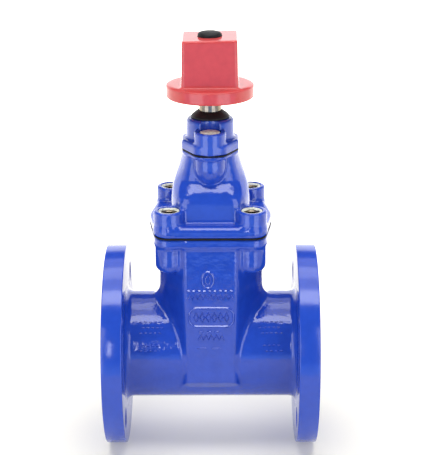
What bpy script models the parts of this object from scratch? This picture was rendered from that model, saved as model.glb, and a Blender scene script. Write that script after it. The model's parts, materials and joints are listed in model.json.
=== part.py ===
"""A resilient-seated gate valve of 80 mm nominal bore, with flanged ends and a non-rising stem.

X runs along the pipe, Y from front to back and Z up the stem. The origin is on the floor, under the
middle of the valve, which stands on the rims of its two flanges with the wedge closed.
"""

import math

import bmesh
import bpy
from mathutils import Matrix, Vector

MM = 0.001
GAP = 0.3 * MM  # between pieces that touch

# Pipe ends: the flange standard's figures for this bore
BORE_RADIUS = 38.1 * MM
FLANGE_RADIUS = 95.25 * MM
FLANGE_THICKNESS = 19 * MM
FACE_TO_FACE = 203.2 * MM
RAISED_FACE_RADIUS = 63.5 * MM
RAISED_FACE = 2 * MM
BOLT_CIRCLE_RADIUS = 76.2 * MM
BOLT_HOLE_RADIUS = 9.5 * MM
PIPE_SIDES = 24
SEAL_SIDES = 16

PIPE_Z = FLANGE_RADIUS  # height of the pipe's axis over the floor
NECK_RADIUS = 50.8 * MM
NECK_FILLET = 7 * MM

# Chamber that holds the wedge: half sizes of its outline seen from above
CHAMBER_SIDE_X = 49.6 * MM
CHAMBER_SIDE_Y = 9 * MM
CHAMBER_FRONT_X = 24.8 * MM
CHAMBER_FRONT_Y = 54.3 * MM
CHAMBER_LOW = 66 * MM
PANEL_LOW = 76.8 * MM
PANEL_FOOT_Y = 49.1 * MM
WALL = 7.5 * MM

# Joint between body and bonnet
JOINT_Z = 218 * MM
GASKET = 1.2 * MM
RIM_THICKNESS = 8 * MM
RIM_FRONT_X = 49.5 * MM
RIM_FRONT_Y = 53.5 * MM
RIM_SIDE_X = 57.5 * MM
SCREW_X = 37.75 * MM
SCREW_Y = 39.25 * MM
SCREW_TAPPED = 6.2 * MM
SCREW_CLEARANCE = 6.6 * MM
SCREW_RECESS = 9.9 * MM
SCREW_SEAT = 228 * MM
BOSS_RADIUS = 13.9 * MM
BODY_BOSS_LOW = 185 * MM

# Bonnet
BONNET_LOW = JOINT_Z + GASKET + 2 * GAP
BONNET_RIM_TOP = 229.8 * MM
BONNET_BOSS_TOP = 242.4 * MM
BONNET_TOP = 291.2 * MM
STEM_HOLE_RADIUS = 11.6 * MM
POCKET_FLOOR = 280.5 * MM
POCKET_RADIUS = 17.3 * MM
CAVITY_TOP = 268 * MM

# Gland
GLAND_GASKET = 0.8 * MM
GLAND_LOW = BONNET_TOP + GLAND_GASKET + 2 * GAP
GLAND_PLATE_TOP = 301.2 * MM
GLAND_LUG_TOP = 312.2 * MM
GLAND_TOP = 319.8 * MM
GLAND_RADIUS = 21.6 * MM
GLAND_SIDE_X = 26.2 * MM
GLAND_SCREW_Y = 24.6 * MM
GLAND_LUG_RADIUS = 13.4 * MM
GLAND_BORE_RADIUS = 14.6 * MM
GLAND_SHELF = 316.3 * MM
GLAND_MOUTH_RADIUS = 12.4 * MM
GLAND_TAPPED = 5.3 * MM
GLAND_CLEARANCE = 5.6 * MM
GLAND_RECESS_RADIUS = 9.3 * MM
GLAND_RECESS_FLOOR = 300.5 * MM

# Stem with a left-hand trapezoidal thread, so that turning it clockwise closes the valve
STEM_RADIUS = 11 * MM
STEM_LOW = 154 * MM
STEM_TOP = 370.7 * MM
THREAD_TOP = 266 * MM
THREAD_PITCH = 5 * MM
THREAD_MINOR_RADIUS = 8.3 * MM
THREAD_CREST = 1.83 * MM
THREAD_FLANK = 0.67 * MM
THREAD_STEPS = 8
SHANK_RADIUS = 10.2 * MM
COLLAR_RADIUS = 16.5 * MM
COLLAR_LOW = 282.9 * MM
COLLAR_TOP = 288.3 * MM
WASHER_THICKNESS = 1.8 * MM
DRIVE_LOW = 339.1 * MM
DRIVE_HALF = 7.75 * MM

# Wedge, closed
WEDGE_RADIUS = 42.5 * MM
WEDGE_LOW = PIPE_Z - WEDGE_RADIUS
WEDGE_SHOULDER_Z = 115 * MM
WEDGE_HEAD_Z = 145 * MM
WEDGE_TOP = 183 * MM
WEDGE_HALF_LOW = 18 * MM
WEDGE_TAPER = 4.5 / 87.25  # growth of the half thickness with height
HEAD_HALF_X = 18 * MM
HEAD_HALF_Y = 23 * MM
RUBBER = 3 * MM
NUT_LOW = 156 * MM
NUT_TOP = 176 * MM
NUT_HALF_Y = 16 * MM
WEDGE_BORE_RADIUS = 11.9 * MM
WEDGE_BORE_LOW = 70.5 * MM
TONGUE_HALF = 5 * MM
TONGUE_Y = 44 * MM
TONGUE_LOW = 85 * MM
TONGUE_TOP = 117 * MM
SHOE_HALF = 8.2 * MM
SHOE_Y = 46 * MM
CHANNEL_Y = 46.6 * MM

# Square cap
CAP_DISC_RADIUS = 40.2 * MM
CAP_LOW = 339.4 * MM
CAP_DISC_TOP = 351.6 * MM
CAP_TOP = 395.2 * MM
CAP_HALF_LOW = 25.6 * MM
CAP_HALF_TOP = 24.9 * MM
CAP_CORNER = 5 * MM
CAP_WEB_LOW = 371 * MM
CAP_WEB_TOP = 378 * MM
CAP_RECESS_RADIUS = 9.6 * MM
CAP_PLUG_RADIUS = 11.1 * MM
CAP_PLUG_SEAT = 1.2 * MM

X_AXIS = Matrix.Rotation(math.pi / 2, 4, "Y")  # lays a body turned about Z along X
SIDES = (-1, 1)


# ---------------------------------------------------------------- materials


def material(name, colour, roughness, metallic=0.0):
    made = bpy.data.materials.new(name)
    made.use_nodes = True
    shader = made.node_tree.nodes["Principled BSDF"]
    shader.inputs["Base Color"].default_value = (*colour, 1)
    shader.inputs["Roughness"].default_value = roughness
    shader.inputs["Metallic"].default_value = metallic
    made.diffuse_color = (*colour, 1)
    return made


# ---------------------------------------------------------------- shapes


def add_turned(bm, profile, sides, at=None):
    """A closed body turned about Z from (radius, height) points that go once round its section."""
    at = at or Matrix()
    half_step = math.pi / sides
    rings = []
    for radius, height in profile:
        angles = [half_step * (2 * i + 1) for i in range(sides if radius else 1)]
        points = [(radius * math.cos(a), radius * math.sin(a), height) for a in angles]
        rings.append([bm.verts.new(at @ Vector(point)) for point in points])
    for ring, following in zip(rings, rings[1:] + rings[:1]):
        if len(ring) == len(following) == 1:
            continue
        for i in range(sides):
            j = (i + 1) % sides
            corners = [
                ring[i % len(ring)],
                ring[j % len(ring)],
                following[j % len(following)],
                following[i % len(following)],
            ]
            bm.faces.new(list(dict.fromkeys(corners)))


def add_loft(bm, sections):
    """A closed body through sections of equally many points, with flat ends."""
    rings = [[bm.verts.new(point) for point in section] for section in sections]
    for ring, following in zip(rings, rings[1:]):
        for i in range(len(ring)):
            j = (i + 1) % len(ring)
            bm.faces.new([ring[i], ring[j], following[j], following[i]])
    bm.faces.new(rings[0])
    bm.faces.new(rings[-1])


def add_prism(bm, outline, low, high):
    add_loft(bm, [[(x, y, z) for x, y in outline] for z in (low, high)])


def add_box(bm, low, high):
    outline = [(low[0], low[1]), (high[0], low[1]), (high[0], high[1]), (low[0], high[1])]
    add_prism(bm, outline, low[2], high[2])


def add_rod(bm, x, y, low, high, radius, sides=16):
    at = Matrix.Translation((x, y, 0))
    add_turned(bm, [(0, low), (radius, low), (radius, high), (0, high)], sides, at)


def add_thread(bm, low, turns, major, minor, crest):
    """A left-hand threaded rod. Its ridge is centred on the height low where it crosses the X axis."""
    half = crest / 2
    ridge = [
        (minor, -half - THREAD_FLANK),
        (major, -half),
        (major, half),
        (minor, half + THREAD_FLANK),
    ]
    rows = [(r, low + k * THREAD_PITCH + z) for k in range(turns + 1) for r, z in ridge]
    columns = []
    for i in range(THREAD_STEPS + 1):
        angle = 2 * math.pi * i / THREAD_STEPS
        drop = THREAD_PITCH * i / THREAD_STEPS
        # the last column is the first one again, one pitch lower
        first = len(ridge) if i == THREAD_STEPS else len(rows)
        points = [(r * math.cos(angle), r * math.sin(angle), z - drop) for r, z in rows[:first]]
        columns.append([bm.verts.new(point) for point in points])
    columns[-1] += columns[0][: len(rows) - len(ridge)]
    for column, following in zip(columns, columns[1:]):
        for j in range(len(rows) - 1):
            bm.faces.new([column[j], following[j], following[j + 1], column[j + 1]])
    low_end = [column[0] for column in columns] + columns[-1][1 : len(ridge)]
    high_end = [column[-1] for column in columns] + columns[0][-len(ridge) : -1]
    for end, level in ((low_end, rows[0][1]), (high_end, rows[-1][1])):
        middle = bm.verts.new((0, 0, level - THREAD_PITCH / 2))
        for i, vert in enumerate(end):
            bm.faces.new([middle, vert, end[(i + 1) % len(end)]])


def rounded(corners, radii, steps=4):
    """The outline of a convex polygon with each corner replaced by an arc of its radius."""
    outline = []
    count = len(corners)
    for i, (corner, radius) in enumerate(zip(corners, radii)):
        here = Vector(corner)
        before = (Vector(corners[i - 1]) - here).normalized()
        after = (Vector(corners[(i + 1) % count]) - here).normalized()
        half = before.angle(after) / 2
        centre = here + (before + after).normalized() * (radius / math.sin(half))
        start = here + before * (radius / math.tan(half)) - centre
        end = here + after * (radius / math.tan(half)) - centre
        turn = start.angle_signed(end)
        for step in range(steps + 1):
            spoke = start.copy()
            spoke.rotate(Matrix.Rotation(-turn * step / steps, 2))
            outline.append(tuple(centre + spoke))
    return outline


def four_ways(x, y):
    """The corners of a rectangle, going round."""
    return [(x, -y), (x, y), (-x, y), (-x, -y)]


def chamber_outline(side_x, side_y, front_x, front_y):
    return [
        (front_x, -front_y),
        (side_x, -side_y),
        (side_x, side_y),
        (front_x, front_y),
        (-front_x, front_y),
        (-side_x, side_y),
        (-side_x, -side_y),
        (-front_x, -front_y),
    ]


def rim_outline():
    corners = [
        (RIM_FRONT_X, -RIM_FRONT_Y),
        (RIM_SIDE_X, 0),
        (RIM_FRONT_X, RIM_FRONT_Y),
        (-RIM_FRONT_X, RIM_FRONT_Y),
        (-RIM_SIDE_X, 0),
        (-RIM_FRONT_X, -RIM_FRONT_Y),
    ]
    side_radius = 60 * MM
    radii = [BOSS_RADIUS, side_radius, BOSS_RADIUS, BOSS_RADIUS, side_radius, BOSS_RADIUS]
    return rounded(corners, radii)


def gland_outline(inset=0.0):
    """The lozenge of the gland's plate, which runs to a rounded lobe at each screw."""
    side_y = 11.5 * MM
    lobe_x = 12.4 * MM
    front_y = GLAND_SCREW_Y + GLAND_LUG_RADIUS
    corners = chamber_outline(
        GLAND_SIDE_X - inset, side_y, lobe_x - inset, front_y - inset
    )
    return rounded(corners, [7 * MM] * len(corners), steps=3)


def wedge_half_thickness(z):
    return WEDGE_HALF_LOW + (z - WEDGE_LOW) * WEDGE_TAPER


def add_wedge_plate(bm, offset, top=None):
    """The wedge's tapered plate: round below, then straight sides and shoulders, or straight to top."""
    radius = WEDGE_RADIUS + offset
    steps = 16
    arc = [math.pi * (1 + i / steps) for i in range(steps + 1)]
    outline = [(radius * math.cos(a), PIPE_Z + radius * math.sin(a)) for a in arc]
    if top:
        outline += [(radius, top), (-radius, top)]
    else:
        head_y = HEAD_HALF_Y + offset
        head_z = WEDGE_HEAD_Z + offset
        outline += [(radius, WEDGE_SHOULDER_Z), (head_y, head_z)]
        outline += [(-head_y, head_z), (-radius, WEDGE_SHOULDER_Z)]
    sections = []
    for side in SIDES:
        sections.append(
            [(side * (wedge_half_thickness(z) + offset), y, z) for y, z in outline]
        )
    add_loft(bm, sections)


# ---------------------------------------------------------------- objects


def make(name, build, finish=None, location=(0, 0, 0), parent=None):
    """An object whose mesh build(bm) makes about its own origin."""
    bm = bmesh.new()
    build(bm)
    bmesh.ops.recalc_face_normals(bm, faces=bm.faces)
    mesh = bpy.data.meshes.new(name)
    bm.to_mesh(mesh)
    bm.free()
    if finish:
        mesh.materials.append(finish)
    mesh.shade_smooth()
    mesh.set_sharp_from_angle(angle=math.radians(30))
    made = bpy.data.objects.new(name, mesh)
    made.location = location
    made.parent = parent
    bpy.context.scene.collection.objects.link(made)
    return made


def combine(target, operation, name, build):
    """Joins a shape to the target, cuts it from it, or keeps only what is inside it."""
    tool = make(name, build)
    tool.parent = target
    tool.hide_render = True
    tool.display_type = "WIRE"
    modifier = target.modifiers.new(name, "BOOLEAN")
    modifier.operation = operation
    modifier.object = tool


def axis_empty(name):
    empty = bpy.data.objects.new(name, None)
    bpy.context.scene.collection.objects.link(empty)
    return empty


# ---------------------------------------------------------------- housing


def flange_bolt_holes(bm):
    reach = FACE_TO_FACE / 2
    low = reach - RAISED_FACE - FLANGE_THICKNESS - 4 * MM
    for side in SIDES:
        for quarter in range(4):
            angle = math.pi / 4 + quarter * math.pi / 2
            y = BOLT_CIRCLE_RADIUS * math.cos(angle)
            z = PIPE_Z + BOLT_CIRCLE_RADIUS * math.sin(angle)
            ends = sorted((side * low, side * (reach + 4 * MM)))
            profile = [(0, ends[0]), (BOLT_HOLE_RADIUS, ends[0])]
            profile += [(BOLT_HOLE_RADIUS, ends[1]), (0, ends[1])]
            add_turned(bm, profile, 12, Matrix.Translation((0, y, z)) @ X_AXIS)


def pipe_with_flanges(bm):
    """Both flanges and the neck between them, as one body turned about the pipe's axis."""
    face = FACE_TO_FACE / 2
    rim = face - RAISED_FACE
    back = rim - FLANGE_THICKNESS
    flat_radius = 1 / math.cos(math.pi / PIPE_SIDES)  # so that the flats lie on the circle
    right = [
        (NECK_RADIUS, back - NECK_FILLET),
        (NECK_RADIUS + NECK_FILLET, back),
        (FLANGE_RADIUS, back),
        (FLANGE_RADIUS, rim),
        (RAISED_FACE_RADIUS, rim),
        (RAISED_FACE_RADIUS, face),
        (0, face),
    ]
    profile = [(r, -x) for r, x in reversed(right)] + right
    profile = [(r * flat_radius, x) for r, x in profile]
    add_turned(bm, profile, PIPE_SIDES, Matrix.Translation((0, 0, PIPE_Z)) @ X_AXIS)


def along_pipe(radius, low, high):
    def build(bm):
        profile = [(0, low), (radius, low), (radius, high), (0, high)]
        add_turned(bm, profile, PIPE_SIDES, Matrix.Translation((0, 0, PIPE_Z)) @ X_AXIS)

    return build


def chamber(bm):
    foot = chamber_outline(
        CHAMBER_SIDE_X - 8 * MM, CHAMBER_SIDE_Y, CHAMBER_FRONT_X - 3 * MM, PANEL_FOOT_Y
    )
    panel_low = chamber_outline(
        CHAMBER_SIDE_X - 4 * MM, CHAMBER_SIDE_Y, CHAMBER_FRONT_X - 1.5 * MM, CHAMBER_FRONT_Y
    )
    upper = chamber_outline(
        CHAMBER_SIDE_X, CHAMBER_SIDE_Y, CHAMBER_FRONT_X, CHAMBER_FRONT_Y
    )
    levels = [
        (CHAMBER_LOW, foot),
        (PANEL_LOW - 3 * MM, foot),
        (PANEL_LOW, panel_low),
        (PIPE_Z + NECK_RADIUS + 4 * MM, upper),
        (JOINT_Z - RIM_THICKNESS / 2, upper),
    ]
    add_loft(bm, [[(x, y, z) for x, y in outline] for z, outline in levels])


def chamber_cavity(bm):
    slope = 1.14  # wall measured across the slanting sides
    inner = chamber_outline(
        CHAMBER_SIDE_X - slope * WALL,
        CHAMBER_SIDE_Y,
        CHAMBER_FRONT_X - 3.7 * MM,
        CHAMBER_FRONT_Y - WALL,
    )
    add_prism(bm, inner, PIPE_Z, JOINT_Z + 5 * MM)


def seats(bm):
    """The rings round the bore that the wedge's faces close against."""
    for side in SIDES:
        ends = sorted((side * 16 * MM, side * (CHAMBER_SIDE_X - MM)))
        along_pipe(WEDGE_RADIUS, *ends)(bm)


def wedge_slot(bm):
    add_wedge_plate(bm, 0.4 * MM, JOINT_Z + 2 * MM)


def guide_rails(bm):
    inner_x = SHOE_HALF - 0.5 * MM
    for side_x in SIDES:
        for side_y in SIDES:
            xs = sorted((side_x * inner_x, side_x * (inner_x + 5.3 * MM)))
            ys = sorted((side_y * (WEDGE_RADIUS + 0.7 * MM), side_y * 48 * MM))
            add_box(bm, (xs[0], ys[0], TONGUE_LOW), (xs[1], ys[1], 205 * MM))


def guide_channel(bm):
    half = SHOE_HALF + 0.5 * MM
    low = TONGUE_LOW - 2.5 * MM
    add_box(bm, (-half, -CHANNEL_Y, low), (half, CHANNEL_Y, JOINT_Z + 3 * MM))


def screw_columns(radius, low, high, sides=10):
    def build(bm):
        for x, y in four_ways(SCREW_X, SCREW_Y):
            add_rod(bm, x, y, low, high, radius, sides)

    return build


def make_body(blue):
    body = make("valve_body", chamber, blue)
    combine(body, "UNION", "pipe_with_flanges", pipe_with_flanges)
    combine(
        body,
        "UNION",
        "body_rim",
        lambda bm: add_prism(bm, rim_outline(), JOINT_Z - RIM_THICKNESS, JOINT_Z),
    )
    bosses = screw_columns(BOSS_RADIUS - 0.6 * MM, BODY_BOSS_LOW, JOINT_Z - 2 * MM, 16)
    combine(body, "UNION", "body_bosses", bosses)
    combine(body, "DIFFERENCE", "chamber_cavity", chamber_cavity)
    combine(body, "UNION", "seats", seats)
    combine(body, "UNION", "guide_rails", guide_rails)
    combine(body, "DIFFERENCE", "wedge_slot", wedge_slot)
    combine(body, "DIFFERENCE", "guide_channel", guide_channel)
    bore = along_pipe(BORE_RADIUS, -FACE_TO_FACE, FACE_TO_FACE)
    combine(body, "DIFFERENCE", "bore", bore)
    combine(body, "DIFFERENCE", "flange_bolt_holes", flange_bolt_holes)
    tapped = screw_columns(SCREW_TAPPED, BODY_BOSS_LOW + 5 * MM, JOINT_Z + 5 * MM)
    combine(body, "DIFFERENCE", "body_screw_holes", tapped)


def make_bonnet_gasket(rubber):
    low = JOINT_Z + GAP

    def build(bm):
        add_prism(bm, rim_outline(), low, low + GASKET)

    def opening(bm):
        add_prism(bm, four_ways(30 * MM, 36 * MM), low - MM, low + GASKET + MM)

    gasket = make("bonnet_gasket", build, rubber)
    combine(gasket, "DIFFERENCE", "gasket_opening", opening)
    holes = screw_columns(SCREW_CLEARANCE, low - MM, low + GASKET + MM)
    combine(gasket, "DIFFERENCE", "gasket_screw_holes", holes)


def add_dome(bm, levels, front):
    """A dome from (height, half width, half depth) levels, with front as its flat front's share."""
    sections = []
    for z, half_x, half_y in levels:
        corners = chamber_outline(half_x * MM, 0.3 * half_y * MM, front * half_x * MM, half_y * MM)
        outline = rounded(corners, [6 * MM] * len(corners), steps=1)
        sections.append([(x, y, z) for x, y in outline])
    add_loft(bm, sections)


def dome(bm):
    levels = [
        (BONNET_LOW + 2 * MM, 37.4, 41.2),
        (BONNET_RIM_TOP, 36.6, 40.4),
        (246 * MM, 36.1, 39.6),
        (257.5 * MM, 34.8, 38.0),
        (266 * MM, 32.2, 35.0),
        (275 * MM, 28.7, 31.0),
        (BONNET_TOP - 2 * MM, 26.4, 28.0),
    ]
    add_dome(bm, levels, front=0.62)


def dome_cavity(bm):
    levels = [
        (BONNET_LOW - MM, 29.5, 33.5),
        (250 * MM, 28, 32),
        (261 * MM, 25.5, 31),
        (CAVITY_TOP, 22, 28),
    ]
    add_dome(bm, levels, front=0.74)


def lug_bosses(bm):
    """The bullet-shaped boss under each gland screw."""
    tip = 257.5 * MM
    profile = [(0, tip), (6 * MM, tip + 4 * MM), (11 * MM, tip + 12 * MM)]
    profile += [(GLAND_LUG_RADIUS, tip + 22 * MM)]
    profile += [(GLAND_LUG_RADIUS, BONNET_TOP - MM), (0, BONNET_TOP - MM)]
    for side in SIDES:
        add_turned(bm, profile, 16, Matrix.Translation((0, side * GLAND_SCREW_Y, 0)))


def gland_screw_columns(radius, low, high, sides=16):
    def build(bm):
        for side in SIDES:
            add_rod(bm, 0, side * GLAND_SCREW_Y, low, high, radius, sides)

    return build


def make_bonnet(blue):
    bonnet = make("bonnet", dome, blue)
    combine(
        bonnet,
        "UNION",
        "bonnet_rim",
        lambda bm: add_prism(bm, rim_outline(), BONNET_LOW, BONNET_RIM_TOP),
    )
    bosses = screw_columns(BOSS_RADIUS, BONNET_LOW + 2 * MM, BONNET_BOSS_TOP, 16)
    combine(bonnet, "UNION", "bonnet_bosses", bosses)
    combine(
        bonnet,
        "UNION",
        "bonnet_table",
        lambda bm: add_prism(bm, gland_outline(), BONNET_TOP - 7 * MM, BONNET_TOP),
    )
    combine(bonnet, "UNION", "lug_bosses", lug_bosses)
    combine(bonnet, "DIFFERENCE", "dome_cavity", dome_cavity)
    stem_hole = [(0, CAVITY_TOP - 5 * MM), (STEM_HOLE_RADIUS, CAVITY_TOP - 5 * MM)]
    stem_hole += [(STEM_HOLE_RADIUS, POCKET_FLOOR), (POCKET_RADIUS, POCKET_FLOOR)]
    stem_hole += [(POCKET_RADIUS, BONNET_TOP + 5 * MM), (0, BONNET_TOP + 5 * MM)]
    combine(
        bonnet, "DIFFERENCE", "stem_pocket", lambda bm: add_turned(bm, stem_hole, 24)
    )
    clearance = screw_columns(SCREW_CLEARANCE, BONNET_LOW - 5 * MM, SCREW_SEAT + MM)
    combine(bonnet, "DIFFERENCE", "bonnet_screw_holes", clearance)
    recesses = screw_columns(SCREW_RECESS, SCREW_SEAT, BONNET_BOSS_TOP + 5 * MM, 16)
    combine(bonnet, "DIFFERENCE", "bonnet_recesses", recesses)
    tapped = gland_screw_columns(GLAND_TAPPED, 272 * MM, BONNET_TOP + 5 * MM, 12)
    combine(bonnet, "DIFFERENCE", "bonnet_gland_holes", tapped)


def make_bonnet_screws(steel, wax):
    """A socket-head screw in each corner, with a ring of wax round its head's rim."""
    seat = SCREW_SEAT + GAP
    head_radius = 9 * MM
    head_top = 11.7 * MM
    bevel = 0.8 * MM
    shank_radius = 5.5 * MM
    tip = -36 * MM
    socket_radius = 5.8 * MM
    socket_floor = head_top - 6 * MM
    seal_inner = 6.4 * MM
    seal_outer = 9.4 * MM

    def blank(bm):
        profile = [(0, tip), (shank_radius - MM, tip), (shank_radius, tip + MM)]
        profile += [(shank_radius, 0), (head_radius, 0), (head_radius, head_top - bevel)]
        profile += [(head_radius - bevel, head_top), (0, head_top)]
        add_turned(bm, profile, 12)

    def socket(bm):
        add_rod(bm, 0, 0, socket_floor, head_top + MM, socket_radius, 6)

    def seal(bm):
        profile = [(seal_inner, 0), (seal_outer, 0), (seal_outer, 1.4 * MM), (seal_inner, 0.7 * MM)]
        add_turned(bm, profile, 14)

    corners = ("front_right", "rear_right", "rear_left", "front_left")
    for corner, (x, y) in zip(corners, four_ways(SCREW_X, SCREW_Y)):
        screw = make(f"bonnet_screw_{corner}", blank, steel, (x, y, seat))
        combine(screw, "DIFFERENCE", f"bonnet_socket_{corner}", socket)
        seal_z = seat + head_top + GAP
        make(f"bonnet_screw_seal_{corner}", seal, wax, (x, y, seal_z))


def make_gland_gasket(rubber):
    low = BONNET_TOP + GAP
    high = low + GLAND_GASKET

    def holes(bm):
        add_rod(bm, 0, 0, low - MM, high + MM, POCKET_RADIUS + 0.2 * MM, 24)
        gland_screw_columns(GLAND_CLEARANCE, low - MM, high + MM, 12)(bm)

    gasket = make(
        "gland_gasket", lambda bm: add_prism(bm, gland_outline(0.6 * MM), low, high), rubber
    )
    combine(gasket, "DIFFERENCE", "gland_gasket_holes", holes)


def make_gland(blue):
    def tower(bm):
        low = GLAND_LOW + 2 * MM
        profile = [(0, low), (GLAND_RADIUS + 0.6 * MM, low), (GLAND_RADIUS, GLAND_TOP - 4 * MM)]
        profile += [(GLAND_RADIUS - MM, GLAND_TOP - 1.2 * MM)]
        profile += [(GLAND_RADIUS - 3.5 * MM, GLAND_TOP), (0, GLAND_TOP)]
        add_turned(bm, profile, 24)

    def bore(bm):
        low = GLAND_LOW - 5 * MM
        high = GLAND_TOP + 5 * MM
        profile = [(0, low), (GLAND_BORE_RADIUS, low), (GLAND_BORE_RADIUS, GLAND_SHELF)]
        profile += [(GLAND_MOUTH_RADIUS, GLAND_SHELF), (GLAND_MOUTH_RADIUS, high)]
        add_turned(bm, [*profile, (0, high)], 24)

    def screw_ways(bm):
        low = GLAND_LOW - 5 * MM
        high = GLAND_TOP + 5 * MM
        profile = [(0, low), (GLAND_CLEARANCE, low), (GLAND_CLEARANCE, GLAND_RECESS_FLOOR)]
        profile += [(GLAND_RECESS_RADIUS, GLAND_RECESS_FLOOR), (GLAND_RECESS_RADIUS, high)]
        for side in SIDES:
            at = Matrix.Translation((0, side * GLAND_SCREW_Y, 0))
            add_turned(bm, [*profile, (0, high)], 18, at)

    gland = make("gland", tower, blue)
    combine(
        gland,
        "UNION",
        "gland_plate",
        lambda bm: add_prism(bm, gland_outline(), GLAND_LOW, GLAND_PLATE_TOP),
    )
    lugs = gland_screw_columns(GLAND_LUG_RADIUS, GLAND_LOW + 2 * MM, GLAND_LUG_TOP, 20)
    combine(gland, "UNION", "gland_lugs", lugs)
    combine(gland, "DIFFERENCE", "gland_bore", bore)
    combine(gland, "DIFFERENCE", "gland_screw_ways", screw_ways)


def make_gland_screws(steel, wax):
    """The gland's two screws, each under a plug of wax that fills its recess."""
    seat = GLAND_RECESS_FLOOR + GAP
    head_radius = 8 * MM
    head_top = 8 * MM
    bevel = 0.6 * MM
    shank_radius = 4.9 * MM
    tip = -27 * MM
    plug_radius = GLAND_RECESS_RADIUS - 0.4 * MM

    def screw(bm):
        profile = [(0, tip), (shank_radius - MM, tip), (shank_radius, tip + MM)]
        profile += [(shank_radius, 0), (head_radius, 0), (head_radius, head_top - bevel)]
        profile += [(head_radius - bevel, head_top), (0, head_top)]
        add_turned(bm, profile, 12)

    def plug(bm):
        profile = [(0, 0), (plug_radius, 0), (plug_radius, 2.2 * MM), (plug_radius - 2 * MM, 3.4 * MM)]
        add_turned(bm, [*profile, (0, 3.9 * MM)], 20)

    for end, side in zip(("front", "rear"), SIDES):
        y = side * GLAND_SCREW_Y
        make(f"gland_screw_{end}", screw, steel, (0, y, seat))
        make(f"gland_screw_seal_{end}", plug, wax, (0, y, seat + head_top + GAP))


def ring(name, finish, inner, outer, low, high, sides=20):
    profile = [(inner, 0), (outer, 0), (outer, high - low), (inner, high - low)]
    return make(name, lambda bm: add_turned(bm, profile, sides), finish, (0, 0, low))


def o_ring(name, finish, inner, outer, z):
    """A rubber ring of round section."""
    section = (outer - inner) / 2
    middle = inner + section
    corners = [math.pi * i / 3 for i in range(6)]
    profile = [(middle + section * math.cos(a), section * math.sin(a)) for a in corners]
    make(name, lambda bm: add_turned(bm, profile, SEAL_SIDES), finish, (0, 0, z))


def make_seals(rubber, nylon, bronze):
    """The bush in the gland's bore, with its ring seals, and the washers either side of the collar."""
    low = 290.7 * MM
    high = GLAND_SHELF - GAP
    inner = SHANK_RADIUS + 0.5 * MM
    outer = GLAND_BORE_RADIUS - 0.4 * MM
    inner_floor = 13 * MM
    outer_floor = 12.3 * MM
    half_groove = 1.4 * MM
    stem_rings = [294.2 * MM, 302.9 * MM, 311.6 * MM]
    bush_rings = [298.5 * MM, 307.3 * MM]
    profile = [(inner, low), (outer, low)]
    for z in bush_rings:
        profile += [(outer, z - half_groove), (outer_floor, z - half_groove)]
        profile += [(outer_floor, z + half_groove), (outer, z + half_groove)]
    profile += [(outer, high), (inner, high)]
    for z in reversed(stem_rings):
        profile += [(inner, z + half_groove), (inner_floor, z + half_groove)]
        profile += [(inner_floor, z - half_groove), (inner, z - half_groove)]
    make("seal_bush", lambda bm: add_turned(bm, profile, SEAL_SIDES), bronze)
    for number, z in enumerate(stem_rings, 1):
        o_ring(f"stem_o_ring_{number}", rubber, 10.6 * MM, 12.7 * MM, z)
    for number, z in enumerate(bush_rings, 1):
        o_ring(f"bush_o_ring_{number}", rubber, 12.65 * MM, 14.3 * MM, z)
    lower = COLLAR_LOW - GAP - WASHER_THICKNESS
    upper = COLLAR_TOP + GAP
    edges = (STEM_HOLE_RADIUS, POCKET_RADIUS - 0.5 * MM)
    ring("lower_thrust_washer", nylon, *edges, lower, lower + WASHER_THICKNESS)
    ring("upper_thrust_washer", nylon, *edges, upper, upper + WASHER_THICKNESS)


def make_dust_guard(rubber):
    low = GLAND_TOP + GAP
    inner = SHANK_RADIUS + 0.5 * MM
    foot = 17.6 * MM
    profile = [(inner, 0), (foot, 0), (foot, 1.6 * MM)]
    profile += [(inner + 1.8 * MM, 7 * MM), (inner, 7.6 * MM)]
    make("dust_guard", lambda bm: add_turned(bm, profile, 24), rubber, (0, 0, low))


# ---------------------------------------------------------------- stem and cap


def make_stem(steel, axis):
    def thread(bm):
        turns = math.ceil((THREAD_TOP - STEM_LOW) / THREAD_PITCH) + 1
        start = NUT_LOW - THREAD_PITCH
        add_thread(bm, start, turns, STEM_RADIUS, THREAD_MINOR_RADIUS, THREAD_CREST)

    def envelope(bm):
        wide = STEM_RADIUS + MM
        profile = [(0, STEM_LOW), (THREAD_MINOR_RADIUS, STEM_LOW), (wide, STEM_LOW + 3.5 * MM)]
        add_turned(bm, [*profile, (wide, THREAD_TOP), (0, THREAD_TOP)], 12)

    def shank(bm):
        low = THREAD_TOP - 3 * MM
        profile = [(0, low), (STEM_RADIUS - MM, low), (STEM_RADIUS, low + MM)]
        profile += [(STEM_RADIUS, COLLAR_LOW), (COLLAR_RADIUS, COLLAR_LOW)]
        profile += [(COLLAR_RADIUS, COLLAR_TOP), (SHANK_RADIUS, COLLAR_TOP)]
        profile += [(SHANK_RADIUS, DRIVE_LOW), (0, DRIVE_LOW)]
        add_turned(bm, profile, 20)

    def drive(bm):
        add_prism(bm, four_ways(DRIVE_HALF, DRIVE_HALF), DRIVE_LOW - 2 * MM, STEM_TOP)

    stem = make("stem", thread, steel, parent=axis)
    combine(stem, "INTERSECT", "stem_envelope", envelope)
    combine(stem, "UNION", "stem_shank", shank)
    combine(stem, "UNION", "stem_drive", drive)
    hole_low = 348 * MM
    combine(
        stem,
        "DIFFERENCE",
        "stem_tapped_hole",
        lambda bm: add_rod(bm, 0, 0, hole_low, STEM_TOP + 5 * MM, 5.4 * MM, 12),
    )


def cap_square(half, z):
    return [(x, y, z) for x, y in rounded(four_ways(half, half), [CAP_CORNER] * 4)]


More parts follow.
